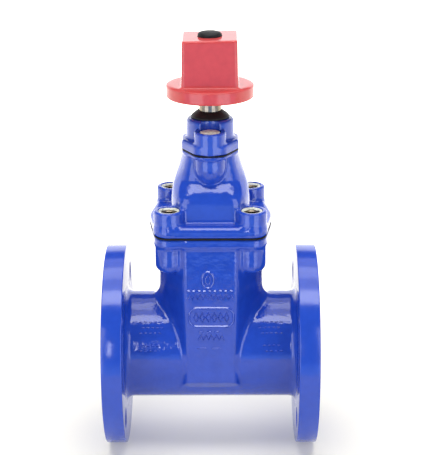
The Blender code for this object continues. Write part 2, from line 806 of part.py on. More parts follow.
def make_cap(red, black, steel, axis):
    def square(bm):
        edge = 2 * MM
        half_at = (CAP_HALF_LOW - CAP_HALF_TOP) / (CAP_TOP - CAP_DISC_TOP)
        sections = [
            cap_square(CAP_HALF_LOW, CAP_DISC_TOP - 5 * MM),
            cap_square(CAP_HALF_TOP + half_at * edge, CAP_TOP - edge),
            cap_square(CAP_HALF_TOP - 0.3 * edge, CAP_TOP - 0.3 * edge),
            cap_square(CAP_HALF_TOP - edge, CAP_TOP),
        ]
        add_loft(bm, sections)

    def disc(bm):
        edge = 1.1 * MM
        radius = CAP_DISC_RADIUS
        profile = [(0, CAP_LOW), (radius - edge, CAP_LOW), (radius, CAP_LOW + edge)]
        profile += [(radius, CAP_DISC_TOP - edge), (radius - 3 * MM, CAP_DISC_TOP)]
        add_turned(bm, [*profile, (0, CAP_DISC_TOP)], 32)

    def hollow(bm):
        half = DRIVE_HALF + 0.4 * MM
        add_prism(bm, four_ways(half, half), CAP_LOW - 5 * MM, CAP_WEB_LOW)

    def bolt_way(bm):
        """The bolt's hole, the recess over its head and a seat for the plug."""
        seat = CAP_TOP - CAP_PLUG_SEAT
        seat_radius = CAP_PLUG_RADIUS + GAP
        profile = [(0, CAP_WEB_LOW - MM), (5.5 * MM, CAP_WEB_LOW - MM), (5.5 * MM, CAP_WEB_TOP)]
        profile += [(CAP_RECESS_RADIUS, CAP_WEB_TOP), (CAP_RECESS_RADIUS, seat)]
        profile += [(seat_radius, seat), (seat_radius, CAP_TOP + 5 * MM)]
        add_turned(bm, [*profile, (0, CAP_TOP + 5 * MM)], 24)

    def bolt(bm):
        low = -26 * MM
        profile = [(0, low), (4.2 * MM, low), (4.9 * MM, low + MM), (4.9 * MM, 0), (8 * MM, 0)]
        add_turned(bm, [*profile, (8 * MM, 6 * MM), (7.2 * MM, 6.6 * MM), (0, 6.6 * MM)], 12)

    def plug(bm):
        low = -6.5 * MM
        body_radius = CAP_RECESS_RADIUS - 0.4 * MM
        head_low = GAP - CAP_PLUG_SEAT
        profile = [(0, low), (body_radius, low), (body_radius, head_low)]
        profile += [(CAP_PLUG_RADIUS, head_low), (CAP_PLUG_RADIUS, 1.9 * MM)]
        profile += [(8.8 * MM, 3.6 * MM), (0, 4.2 * MM)]
        add_turned(bm, profile, 24)

    cap = make("stem_cap", square, red, parent=axis)
    combine(cap, "UNION", "cap_disc", disc)
    combine(cap, "DIFFERENCE", "cap_hollow", hollow)
    combine(cap, "DIFFERENCE", "cap_bolt_way", bolt_way)
    washer_low = CAP_WEB_TOP + GAP
    washer_top = washer_low + 1.7 * MM
    washer = ring("cap_washer", steel, 5.4 * MM, 9.2 * MM, washer_low, washer_top, 20)
    washer.parent = axis
    make("cap_bolt", bolt, steel, (0, 0, washer_top + GAP), axis)
    make("cap_plug", plug, black, (0, 0, CAP_TOP), axis)


# ---------------------------------------------------------------- wedge


def nut_slot(extra):
    def build(bm):
        reach = HEAD_HALF_X + 5 * MM
        low = (-reach, -NUT_HALF_Y - extra, NUT_LOW - extra)
        add_box(bm, low, (reach, NUT_HALF_Y + extra, NUT_TOP + extra))

    return build


def wedge_bore(bm):
    drain_radius = 4 * MM
    low = WEDGE_LOW - 5 * MM
    profile = [(0, low), (drain_radius, low), (drain_radius, WEDGE_BORE_LOW)]
    profile += [(WEDGE_BORE_RADIUS, WEDGE_BORE_LOW), (WEDGE_BORE_RADIUS, WEDGE_TOP + 5 * MM)]
    add_turned(bm, [*profile, (0, WEDGE_TOP + 5 * MM)], 20)


def head_block(offset):
    def build(bm):
        half_x = HEAD_HALF_X + offset
        half_y = HEAD_HALF_Y + offset
        low = WEDGE_HEAD_Z - 8 * MM
        add_box(bm, (-half_x, -half_y, low), (half_x, half_y, WEDGE_TOP + offset))

    return build


def tongue(extra):
    def build(bm):
        low = (-TONGUE_HALF - extra, -TONGUE_Y - extra, TONGUE_LOW - extra)
        add_box(bm, low, (TONGUE_HALF + extra, TONGUE_Y + extra, TONGUE_TOP + extra))

    return build


def make_wedge(iron, rubber, nylon, brass, axis):
    core_inset = -RUBBER - GAP
    core = make("wedge_core", lambda bm: add_wedge_plate(bm, core_inset), iron, parent=axis)
    combine(core, "UNION", "core_head", head_block(core_inset))
    combine(core, "UNION", "core_tongue", tongue(0))
    combine(core, "DIFFERENCE", "core_bore", wedge_bore)
    combine(core, "DIFFERENCE", "core_nut_slot", nut_slot(GAP))

    cover = make("wedge_rubber", lambda bm: add_wedge_plate(bm, 0), rubber, parent=axis)
    combine(cover, "UNION", "cover_head", head_block(0))
    combine(cover, "DIFFERENCE", "cover_plate_hollow", lambda bm: add_wedge_plate(bm, -RUBBER))
    combine(cover, "DIFFERENCE", "cover_head_hollow", head_block(-RUBBER))
    combine(cover, "DIFFERENCE", "cover_tongue_gap", tongue(GAP))
    combine(cover, "DIFFERENCE", "cover_bore", wedge_bore)
    combine(cover, "DIFFERENCE", "cover_nut_slot", nut_slot(GAP))

    for end, side in zip(("front", "rear"), SIDES):
        ys = sorted((side * (WEDGE_RADIUS + GAP), side * SHOE_Y))

        def shoe(bm, ys=ys):
            low = (-SHOE_HALF, ys[0], TONGUE_LOW - 2 * MM)
            add_box(bm, low, (SHOE_HALF, ys[1], TONGUE_TOP + 2 * MM))

        made = make(f"wedge_guide_{end}", shoe, nylon, parent=axis)
        combine(made, "DIFFERENCE", f"guide_{end}_pocket", tongue(GAP))

    def nut_thread(bm):
        turns = math.ceil((NUT_TOP - NUT_LOW) / THREAD_PITCH) + 2
        start = NUT_LOW - THREAD_PITCH
        crest = THREAD_CREST + 2.1 * GAP
        # the flats of one thread must clear the corners of the other as it turns
        flat = math.cos(math.pi / THREAD_STEPS)
        major = STEM_RADIUS / flat + 0.15 * MM
        minor = THREAD_MINOR_RADIUS / flat + 0.15 * MM
        add_thread(bm, start, turns, major, minor, crest)

    nut_half_x = 14.5 * MM
    nut_low = (-nut_half_x, -NUT_HALF_Y, NUT_LOW)
    nut_high = (nut_half_x, NUT_HALF_Y, NUT_TOP)
    nut = make("stem_nut", lambda bm: add_box(bm, nut_low, nut_high), brass, parent=axis)
    combine(nut, "DIFFERENCE", "nut_thread", nut_thread)


def main():
    for old in list(bpy.data.objects):
        bpy.data.objects.remove(old)
    blue = material("blue_epoxy", (0.045, 0.1, 0.62), 0.25)
    red = material("red_epoxy", (0.7, 0.09, 0.1), 0.35)
    rubber = material("black_rubber", (0.02, 0.02, 0.022), 0.6)
    nylon = material("nylon", (0.75, 0.73, 0.66), 0.45)
    wax = material("sealing_wax", (0.5, 0.36, 0.22), 0.55)
    steel = material("stainless_steel", (0.62, 0.61, 0.6), 0.3, 1.0)
    brass = material("brass", (0.72, 0.53, 0.23), 0.35, 1.0)
    iron = material("ductile_iron", (0.16, 0.16, 0.17), 0.6, 0.8)

    make_body(blue)
    make_bonnet_gasket(rubber)
    make_bonnet(blue)
    make_bonnet_screws(steel, wax)
    make_gland_gasket(rubber)
    make_gland(blue)
    make_gland_screws(steel, wax)
    make_seals(rubber, nylon, brass)
    make_dust_guard(rubber)
    stem_axis = axis_empty("stem_axis")
    make_stem(steel, stem_axis)
    make_cap(red, rubber, steel, stem_axis)
    gate_axis = axis_empty("gate_axis")
    make_wedge(iron, rubber, nylon, brass, gate_axis)


main()
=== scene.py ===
"""The looks of an 80 mm flanged gate valve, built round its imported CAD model.

Lengths in the shape code are in millimetres, in the CAD's own frame: X along the pipe, -Y the front
and Z up the stem. Castings are distance fields with real fillets, turned into meshes; machined and
moulded pieces are turned or lofted.
"""

import json
import math
from itertools import product

import bmesh
import bpy
import numpy as np
from mathutils import Matrix, Vector


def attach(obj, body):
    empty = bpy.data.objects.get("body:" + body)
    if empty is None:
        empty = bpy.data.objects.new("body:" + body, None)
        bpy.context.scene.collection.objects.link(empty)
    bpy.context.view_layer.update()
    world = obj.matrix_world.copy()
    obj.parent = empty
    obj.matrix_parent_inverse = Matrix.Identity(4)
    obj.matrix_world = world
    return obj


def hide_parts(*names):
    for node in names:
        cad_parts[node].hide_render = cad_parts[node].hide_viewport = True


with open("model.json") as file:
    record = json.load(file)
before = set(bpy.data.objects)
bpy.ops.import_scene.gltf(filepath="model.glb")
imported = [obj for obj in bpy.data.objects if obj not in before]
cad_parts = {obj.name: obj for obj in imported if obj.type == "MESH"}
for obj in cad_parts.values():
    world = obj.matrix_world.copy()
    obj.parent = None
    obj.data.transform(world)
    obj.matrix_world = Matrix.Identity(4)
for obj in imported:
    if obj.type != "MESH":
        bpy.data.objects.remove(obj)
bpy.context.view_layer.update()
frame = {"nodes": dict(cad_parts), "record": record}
scene = bpy.context.scene

MM = 0.001
SIDES = (-1, 1)

# ------------------------------------------------------------------ sizes, as in the CAD

PIPE_Z = 95.25
FLANGE_RADIUS = 95.25
FLANGE_FACE = 101.6
FLANGE_RIM = 99.6
FLANGE_BACK = 80.6
RAISED_FACE_RADIUS = 63.5
BOLT_CIRCLE_RADIUS = 76.2
BOLT_HOLE_RADIUS = 9.5
BORE_RADIUS = 38.1
NECK_RADIUS = 50.8

CHAMBER_SIDE = (49.6, 9.0)
CHAMBER_FRONT = (24.8, 53.0)
PANEL_LOW = 76.8
JOINT_Z = 218.0
GASKET = 1.2
RIM_CORNERS = [
    (49.5, -54.2),
    (57.5, 0.0),
    (49.5, 54.2),
    (-49.5, 54.2),
    (-57.5, 0.0),
    (-49.5, -54.2),
]
RIM_RADII = [13.9, 60.0, 13.9, 13.9, 60.0, 13.9]
SCREW_AT = (37.75, 39.25)
BOSS_RADIUS = 13.9
BODY_BOSS_LOW = 184.0

BONNET_LOW = 219.8
BONNET_RIM_TOP = 229.8
BONNET_BOSS_TOP = 242.4
BONNET_TOP = 291.2
SCREW_SEAT = 228.0
SCREW_RECESS = 9.9
GLAND_SCREW_Y = 24.6
GLAND_LUG_RADIUS = 13.4
GLAND_LOW = 292.6
GLAND_PLATE_TOP = 301.2
GLAND_LUG_TOP = 312.2
GLAND_TOP = 319.8
GLAND_RADIUS = 21.6
GLAND_RECESS_RADIUS = 9.8
GLAND_BORE_RADIUS = 14.6
GLAND_SHELF = 316.3

CAP_LOW = 339.4
CAP_DISC_TOP = 351.6
CAP_DISC_RADIUS = 40.2
CAP_TOP = 395.2
CAP_HALF_LOW = 25.6
CAP_HALF_TOP = 24.9
CAP_PLUG_RADIUS = 11.1

# The spaces inside the castings.
CHAMBER_INSIDE = (41.05, 9, 21.1, 46.8)
SEAT_RING = (42.5, 16, 48.6)
WEDGE_SLOT_RADIUS = 42.9
WEDGE_SLOT_HALF = 18.4
WEDGE_TIP_Z = 52.75
WEDGE_TAPER = 0.0516
GUIDE_RAIL = ((7.7, 13.0), (43.2, 48), (85, 205))
GUIDE_GROOVE = (8.7, 46.6, 82.5)
BODY_SCREW_HOLE = 6.2
BONNET_SCREW_HOLE = 6.6
STEM_HOLE = 11.6
BUSH_HOLE = 17.3
BUSH_SEAT = 280.5
GLAND_SCREW_THREAD_HOLE = 5.3
GLAND_SCREW_HOLE = 5.6
GLAND_SCREW_SEAT = 301
GLAND_STEM_HOLE = 12.4
CAP_SQUARE_HOLE = 8.15
CAP_SQUARE_TOP = 371
CAP_BOLT_HOLE = 5.5
CAP_WELL_RADIUS = 9.6
CAP_WELL_LOW = 378
GASKET_INSIDE = (30, 12, 22, 36)

# ------------------------------------------------------------------ distance fields


def join(a, b, radius):
    """The union of two fields, with a round fillet where they meet."""
    near_a = np.maximum(radius - a, 0)
    near_b = np.maximum(radius - b, 0)
    return np.maximum(np.minimum(a, b), radius) - np.sqrt(near_a * near_a + near_b * near_b)


def meet(a, b, radius):
    """The intersection of two fields, with a round edge."""
    return -join(-a, -b, radius)


def cut(a, b, radius):
    """The first field without the second, with a round edge."""
    return meet(a, -b, radius)


def slab(z, low, high):
    return np.abs(z - (low + high) / 2) - (high - low) / 2


def disc(x, y, radius):
    """The distance to an upright cylinder."""
    return np.sqrt(x * x + y * y) - radius


def polygon(x, y, corners):
    """The exact distance to a polygon, negative inside."""
    nearest = None
    inside = None
    for (ax, ay), (bx, by) in zip(corners, corners[1:] + corners[:1]):
        ex, ey = bx - ax, by - ay
        px, py = x - ax, y - ay
        along = np.clip((px * ex + py * ey) / (ex * ex + ey * ey), 0, 1)
        gap = (px - along * ex) ** 2 + (py - along * ey) ** 2
        nearest = gap if nearest is None else np.minimum(nearest, gap)
        crosses = ((ay > y) != (by > y)) & (px < ex * (y - ay) / (ey if ey else 1e-9))
        inside = crosses if inside is None else inside ^ crosses
    return np.where(inside, -1, 1) * np.sqrt(nearest)


def rounded(corners, radii, steps=6):
    """The outline of a convex polygon with each corner replaced by an arc of its radius."""
    outline = []
    for i, (corner, radius) in enumerate(zip(corners, radii)):
        here = Vector(corner)
        before = (Vector(corners[i - 1]) - here).normalized()
        after = (Vector(corners[(i + 1) % len(corners)]) - here).normalized()
        half = before.angle(after) / 2
        centre = here + (before + after).normalized() * (radius / math.sin(half))
        start = here + before * (radius / math.tan(half)) - centre
        end = here + after * (radius / math.tan(half)) - centre
        turn = start.angle_signed(end)
        for step in range(steps + 1):
            spoke = start.copy()
            spoke.rotate(Matrix.Rotation(-turn * step / steps, 2))
            outline.append(tuple(centre + spoke))
    return outline


RIM_OUTLINE = rounded(RIM_CORNERS, RIM_RADII)


def lozenge(inset=0.0):
    """The outline of the gland's plate."""
    side_x, side_y = 26.2 - inset, 11.0
    lobe_x, front_y = 12.4 - inset, GLAND_SCREW_Y + GLAND_LUG_RADIUS - inset
    corners = [(lobe_x, -front_y), (side_x, -side_y), (side_x, side_y), (lobe_x, front_y)]
    corners += [(-x, -y) for x, y in corners]
    return rounded(corners, [11.0, 6.0, 6.0, 11.0] * 2, 5)


PLATE_OUTLINE = [(x, y * 0.94) for x, y in lozenge()]


def chamber(x, y, z):
    """The wedge's chamber: a flat panel in front and behind, slanting walls and a bevelled foot."""
    ax, ay = np.abs(x), np.abs(y)
    (side_x, side_y), (front_x, front_y) = CHAMBER_SIDE, CHAMBER_FRONT
    across = Vector((front_y - side_y, side_x - front_x)).normalized()
    reach = across.x * front_x + across.y * front_y
    drawn_in = 1.6 * np.clip((150 - z) / 75, 0, 1.5)
    wall = across.x * ax + across.y * ay - reach + drawn_in
    body = meet(wall, ay - front_y, 3.0)
    body = meet(body, ax - side_x, 9.0)
    bevel = Vector((12.1, 13.7)).normalized()
    foot = bevel.x * (ay - front_y) + bevel.y * (PANEL_LOW - z)
    body = meet(body, foot, 0.8)
    return np.maximum(body, np.maximum(z - JOINT_Z + 2, 63 - z))


def body_casting(x, y, z):
    """The valve body without its flanges' outer parts, which are turned."""
    neck = np.sqrt(y * y + (z - PIPE_Z) ** 2) - NECK_RADIUS
    neck = np.maximum(neck, np.abs(x) - FLANGE_FACE + 14)
    flange = np.maximum(FLANGE_BACK + 0.05 - np.abs(x), neck - 14)
    flange = np.maximum(flange, np.abs(x) - FLANGE_FACE + 14)
    pipe = join(neck, flange, 7.0)
    fillet = np.interp(z, [90, 105, 120, 138, 146], [2.5, 3.0, 3.5, 5.5, 11.0])
    fillet = fillet * np.clip((np.abs(x) - 19) / 6, 0.15, 1)
    shape = join(chamber(x, y, z), pipe, fillet)
    rim = meet(polygon(x, y, RIM_OUTLINE), slab(z, JOINT_Z - 8, JOINT_Z), 1.8)
    bosses = disc(np.abs(x) - SCREW_AT[0], np.abs(y) - SCREW_AT[1], BOSS_RADIUS - 0.9)
    bosses = meet(bosses, slab(z, BODY_BOSS_LOW, JOINT_Z - 1), 7.5)
    shape = join(shape, bosses, 4.5)
    shape = join(shape, rim, 3.0)
    return np.maximum(shape, z - JOINT_Z)


def levels(z, table):
    """Smoothly interpolates each column of (height, value, ...) rows at the heights z."""
    samples, window = 300, 27
    heights = np.array([row[0] for row in table])
    fine = np.linspace(heights[0], heights[-1], samples)
    found = []
    for column in range(1, len(table[0])):
        values = np.interp(fine, heights, [row[column] for row in table])
        kernel = np.hanning(window)
        padded = np.pad(values, window // 2, mode="edge")
        found.append(np.interp(z, fine, np.convolve(padded, kernel / kernel.sum(), "valid")))
    return found


# Rows of height, half width and half depth.
DOME = [
    (BONNET_LOW - 2, 37.4, 41.0),
    (BONNET_RIM_TOP, 36.8, 40.6),
    (246.0, 36.3, 39.9),
    (250.0, 36.0, 39.4),
    (254.0, 35.5, 38.0),
    (258.0, 34.8, 35.0),
    (262.0, 33.6, 31.0),
    (265.5, 32.5, 28.0),
    (269.0, 31.3, 26.9),
    (275.0, 29.2, 26.4),
    (283.0, 27.2, 26.0),
    (BONNET_TOP + 2, 26.2, 25.6),
]


def dome(x, y, z):
    half_x, half_y = levels(z, DOME)
    ax, ay = np.abs(x), np.abs(y)
    across = Vector((0.70, 0.46)).normalized()
    front_x = half_x * np.interp(z, [250, 262], [0.74, 0.69])
    wall = across.x * (ax - front_x) + across.y * (ay - half_y)
    edge = np.interp(z, [248, 256, 264, 272], [6.0, 8.0, 9.0, 8.0])
    shape = meet(ax - half_x, wall, 8.0)
    shape = meet(shape, ay - half_y, edge)
    return np.maximum(shape, slab(z, BONNET_LOW - 1, BONNET_TOP - 3)) * 0.92


def bullets(x, y, z):
    """The bullet-shaped boss under each gland screw."""
    tip, full = 262.0, 279.0
    radius = GLAND_LUG_RADIUS + 1
    out = disc(x, np.abs(y) - GLAND_SCREW_Y + 1, 0)
    below = np.clip((full - z) / (full - tip), 0, None)
    shape = (np.sqrt((out / radius) ** 2 + below * below) - 1) * radius
    return np.maximum(shape, z - BONNET_TOP + 2)


def bonnet_casting(x, y, z):
    outline = polygon(x, y, RIM_OUTLINE)
    rim = meet(outline, slab(z, BONNET_LOW, BONNET_RIM_TOP), 1.2)
    rim = meet(rim, (outline + z - BONNET_RIM_TOP + 3.3) / math.sqrt(2), 1.0)
    bosses = disc(np.abs(x) - SCREW_AT[0], np.abs(y) - SCREW_AT[1], BOSS_RADIUS)
    bosses = meet(bosses, slab(z, BONNET_LOW + 2, BONNET_BOSS_TOP), 1.6)
    shape = join(dome(x, y, z), bullets(x, y, z), 1.4)
    table = meet(polygon(x, y, lozenge(0.3)), slab(z, BONNET_TOP - 2.4, BONNET_TOP), 0.6)
    shape = join(shape, table, 2.0)
    shape = join(shape, rim, 3.2)
    shape = join(shape, bosses, 3.2)
    shape = np.maximum(shape, np.maximum(z - BONNET_TOP, BONNET_LOW - z))
    recess = disc(np.abs(x) - SCREW_AT[0], np.abs(y) - SCREW_AT[1], SCREW_RECESS)
    recess = np.maximum(recess, SCREW_SEAT - z)
    return cut(shape, recess, 0.7)


def gland_casting(x, y, z):
    plate = meet(polygon(x, y, PLATE_OUTLINE), slab(z, GLAND_LOW - 4, GLAND_PLATE_TOP), 3.0)
    tower = disc(x, y, GLAND_RADIUS + 0.6 * np.clip((GLAND_TOP - z) / 27, 0, 1))
    tower = meet(tower, slab(z, GLAND_LOW, GLAND_TOP), 3.0)
    lugs = disc(x, np.abs(y) - GLAND_SCREW_Y + 1.2, GLAND_LUG_RADIUS + 1.2)
    lugs = meet(lugs, slab(z, GLAND_LOW - 4, GLAND_LUG_TOP), 1.6)
    shape = join(join(plate, tower, 2.5), lugs, 1.3)
    recess = disc(x, np.abs(y) - GLAND_SCREW_Y, GLAND_RECESS_RADIUS)
    recess = np.maximum(recess, GLAND_LUG_TOP - 8 - z)
    shape = cut(shape, recess, 0.7)
    return meet(shape, GLAND_LOW - z, 0.5)


def cap_casting(x, y, z):
    share = np.clip((z - CAP_DISC_TOP) / (CAP_TOP - CAP_DISC_TOP), -0.2, 1.2)
    half = CAP_HALF_LOW + (CAP_HALF_TOP - CAP_HALF_LOW) * share
    square = meet(np.abs(x) - half, np.abs(y) - half, 2.8)
    leaning = 0.4 + z - 0.02 * x * share
    square = meet(square, slab(leaning, CAP_DISC_TOP - 8, CAP_TOP), 1.8)
    out = disc(x, y, 0)
    plate = meet(out - CAP_DISC_RADIUS, slab(z, CAP_LOW, CAP_DISC_TOP), 1.2)
    chamfer = (out - CAP_DISC_RADIUS + 2.6 + 2.6 * (z - CAP_DISC_TOP)) / math.hypot(1, 2.6)
    plate = meet(plate, chamfer, 0.8)
    return join(square, plate, 2.6)


# ------------------------------------------------------------------ meshes from fields


def surface_net(field, low, high, step):
    """Vertices and quads of the field's zero surface, pulled onto it exactly and evened out."""
    axes = [np.arange(a - 1.5 * step, b + 2.5 * step, step) for a, b in zip(low, high)]
    grid = field(axes[0][:, None, None], axes[1][None, :, None], axes[2][None, None, :])
    grid = np.broadcast_to(grid, [len(a) for a in axes]).astype(np.float32)
    inside = grid < 0
    shape = [n - 1 for n in grid.shape]
    offsets = list(product((0, 1), repeat=3))

    def shifted(values, offset):
        return values[tuple(slice(o, o + n) for o, n in zip(offset, shape))]

    count = sum(shifted(inside, o).astype(np.int8) for o in offsets)
    cells = np.argwhere((count > 0) & (count < 8))
    index = np.full(shape, -1, np.int64)
    index[tuple(cells.T)] = np.arange(len(cells))
    values = np.stack([grid[tuple((cells + o).T)] for o in offsets], 1)
    total = np.zeros((len(cells), 3))
    crossings = np.zeros(len(cells))
    for a, b in product(range(8), repeat=2):
        difference = np.array(offsets[b]) - np.array(offsets[a])
        if difference.min() < 0 or difference.sum() != 1:
            continue
        va, vb = values[:, a], values[:, b]
        hit = (va < 0) != (vb < 0)
        share = np.where(hit, va / np.where(hit, va - vb, 1), 0)
        total += hit[:, None] * (np.array(offsets[a]) + share[:, None] * difference)
        crossings += hit
    points = (cells + total / crossings[:, None]) * step + [a[0] for a in axes]

    quads = []
    for axis in range(3):
        others = [k for k in range(3) if k != axis]
        first = [slice(None)] * 3
        second = [slice(None)] * 3
        first[axis], second[axis] = slice(0, -1), slice(1, None)
        a, b = inside[tuple(first)], inside[tuple(second)]
        edges = np.argwhere(a != b)
        starts_inside = a[tuple(edges.T)]
        ring = []
        for du, dv in ((-1, -1), (0, -1), (0, 0), (-1, 0)):
            cell = edges.copy()
            cell[:, others[0]] += du
            cell[:, others[1]] += dv
            ring.append(index[tuple(cell.T)])
        ring = np.stack(ring, 1)
        flip = starts_inside == (axis == 1)
        ring[flip] = ring[flip][:, ::-1]
        quads.append(ring)
    quads = np.concatenate(quads)

    def settle(at, rounds):
        probe = 0.01
        for _ in range(rounds):
            value = field(*at.T)
            rises = [field(*(at + e).T) - field(*(at - e).T) for e in probe * np.eye(3)]
            slope = np.stack(rises, 1) / (2 * probe)
            length = np.maximum((slope * slope).sum(1), 0.05)
            move = slope * (value / length)[:, None]
            size = np.linalg.norm(move, axis=1, keepdims=True)
            at = at - move * np.minimum(1, 0.5 * step / np.maximum(size, 1e-9))
        return at

    points = settle(points, 2)
    ends = np.concatenate([quads[:, [0, 1]], quads[:, [1, 2]], quads[:, [2, 3]], quads[:, [3, 0]]])
    degree = np.bincount(ends[:, 0], minlength=len(points)).clip(1)
    for _ in range(2):
        sums = [np.bincount(ends[:, 0], points[ends[:, 1], k], len(points)) for k in range(3)]
        middle = np.stack(sums, 1) / degree[:, None]
        points = settle(points + 0.5 * (middle - points), 1)
    return settle(points, 1), quads


def mesh_of(name, points, faces):
    mesh = bpy.data.meshes.new(name)
    mesh.from_pydata((np.asarray(points) * MM).tolist(), [], np.asarray(faces).tolist())
    mesh.validate()
    mesh.shade_smooth()
    return mesh


def add(name, mesh, finish=None):
    made = bpy.data.objects.new(name, mesh)
    scene.collection.objects.link(made)
    if finish:
        mesh.materials.append(finish)
    return made


def cast(name, field, low, high, step, finish):
    return add(name, mesh_of(name, *surface_net(field, low, high, step)), finish)


# ------------------------------------------------------------------ turned and lofted shapes

X_AXIS = Matrix.Rotation(math.pi / 2, 4, "Y")


def add_turned(bm, profile, sides, at=None):
    """A closed body turned about Z from (radius, height) points that go once round its section."""
    at = at or Matrix()
    rings = []
    for radius, height in profile:
        angles = [2 * math.pi * i / sides for i in range(sides if radius else 1)]
        spots = [Vector((radius * math.cos(a), radius * math.sin(a), height)) for a in angles]
        rings.append([bm.verts.new((at @ spot) * MM) for spot in spots])
    for ring, following in zip(rings, rings[1:] + rings[:1]):
        if len(ring) == len(following) == 1:
            continue
        for i in range(sides):
            j = (i + 1) % sides
            corners = [
                ring[i % len(ring)],
                ring[j % len(ring)],
                following[j % len(following)],
                following[i % len(following)],
            ]
            bm.faces.new(list(dict.fromkeys(corners)))


def skin(bm, rings, closed=False):
    """Quads from ring to ring of as many points, with a lid at each end unless it is closed."""
    for ring, following in zip(rings, rings[1:] + (rings[:1] if closed else [])):
        for i in range(len(ring)):
            j = (i + 1) % len(ring)
            bm.faces.new([ring[i], ring[j], following[j], following[i]])
    if not closed:
        bm.faces.new(rings[0])
        bm.faces.new(rings[-1])


def soften(profile, radius, steps=3):
    """A turned profile with its marked corners rounded: each point is (radius, height, share)."""
    done = []
    count = len(profile)
    for i, (r, z, share) in enumerate(profile):
        if not share:
            done.append((r, z))
            continue
        here = Vector((r, z))
        before = Vector(profile[i - 1][:2]) - here
        after = Vector(profile[(i + 1) % count][:2]) - here
        size = min(radius * share, before.length * 0.48, after.length * 0.48)
        a = here + before.normalized() * size
        b = here + after.normalized() * size
        for k in range(steps + 1):
            t = k / steps
            done.append(tuple((1 - t) ** 2 * a + 2 * t * (1 - t) * here + t * t * b))
    return done


def build(name, fill, finish, smooth_angle=35):
    bm = bmesh.new()
    fill(bm)
    bmesh.ops.recalc_face_normals(bm, faces=bm.faces)
    mesh = bpy.data.meshes.new(name)
    bm.to_mesh(mesh)
    bm.free()
    mesh.shade_smooth()
    mesh.set_sharp_from_angle(angle=math.radians(smooth_angle))
    return add(name, mesh, finish)


def turned(name, profile, finish, sides=64, at=None, smooth_angle=35):
    return build(name, lambda bm: add_turned(bm, profile, sides, at), finish, smooth_angle)


def carve(target, operation, fill):
    """Applies one Boolean with a shape that fill(bm) makes, then throws the tool away."""
    tool = build("tool", fill, None)
    modifier = target.modifiers.new("carve", "BOOLEAN")
    modifier.operation = operation
    modifier.solver = "MANIFOLD"
    modifier.object = tool
    graph = bpy.context.evaluated_depsgraph_get()
    made = bpy.data.meshes.new_from_object(target.evaluated_get(graph))
    target.modifiers.clear()
    old = target.data
    target.data = made
    made.name = old.name + "_cut"
    made.materials.clear()
    for finish in old.materials:
        made.materials.append(finish)
    made.polygons.foreach_set("material_index", [0] * len(made.polygons))
    bpy.data.meshes.remove(old)
    bpy.data.objects.remove(tool)
    made.set_sharp_from_angle(angle=math.radians(40))


def add_prism(bm, outline, low, high):
    skin(bm, [[bm.verts.new(Vector((x, y, z)) * MM) for x, y in outline] for z in (low, high)])


# ------------------------------------------------------------------ materials


def finish_of(
    name, colour, roughness, metallic=0.0, ior=1.5, mottle=0.1, mottle_size=6.0, bumps=()
):
    """A surface of mottled colour and uneven roughness, with bumps given as (grain, height)."""
    made = bpy.data.materials.new(name)
    made.use_nodes = True
    made.diffuse_color = (*colour, 1)
    tree = made.node_tree
    shader = tree.nodes["Principled BSDF"]
    shader.inputs["Metallic"].default_value = metallic
    shader.inputs["IOR"].default_value = ior
    place = tree.nodes.new("ShaderNodeTexCoord").outputs["Object"]

    def noise(size, detail=3.0):
        node = tree.nodes.new("ShaderNodeTexNoise")
        node.inputs["Scale"].default_value = 1 / (size * MM)
        node.inputs["Detail"].default_value = detail
        tree.links.new(place, node.inputs["Vector"])
        return node.outputs["Fac"]

    ramp = tree.nodes.new("ShaderNodeValToRGB")
    ramp.color_ramp.elements[0].position = 0.3
    ramp.color_ramp.elements[1].position = 0.7
    ramp.color_ramp.elements[0].color = (*[c * (1 - mottle) for c in colour], 1)
    ramp.color_ramp.elements[1].color = (*[min(1, c * (1 + mottle)) for c in colour], 1)
    tree.links.new(noise(mottle_size), ramp.inputs["Fac"])
    tree.links.new(ramp.outputs["Color"], shader.inputs["Base Color"])
    uneven = tree.nodes.new("ShaderNodeMapRange")
    uneven.inputs["To Min"].default_value = roughness * 0.75
    uneven.inputs["To Max"].default_value = roughness * 1.25
    tree.links.new(noise(mottle_size * 0.6), uneven.inputs["Value"])
    tree.links.new(uneven.outputs["Result"], shader.inputs["Roughness"])
    normal = None
    for size, height in bumps:
        bump = tree.nodes.new("ShaderNodeBump")
        bump.inputs["Strength"].default_value = 1.0
        bump.inputs["Distance"].default_value = height * MM
        tree.links.new(noise(size, 1.5), bump.inputs["Height"])
        if normal:
            tree.links.new(normal, bump.inputs["Normal"])
        normal = bump.outputs["Normal"]
    if normal:
        tree.links.new(normal, shader.inputs["Normal"])
    return made


BLUE = (0.014, 0.058, 0.445)
RED = (0.54, 0.059, 0.061)
BLACK = (0.008, 0.008, 0.009)
SKIN_BLACK = (0.020, 0.020, 0.021)
WAX = (0.66, 0.68, 0.58)
NYLON = (0.72, 0.70, 0.62)
BRASS = (0.72, 0.50, 0.20)
STEEL = (0.235, 0.195, 0.145)
IRON = (0.13, 0.13, 0.14)

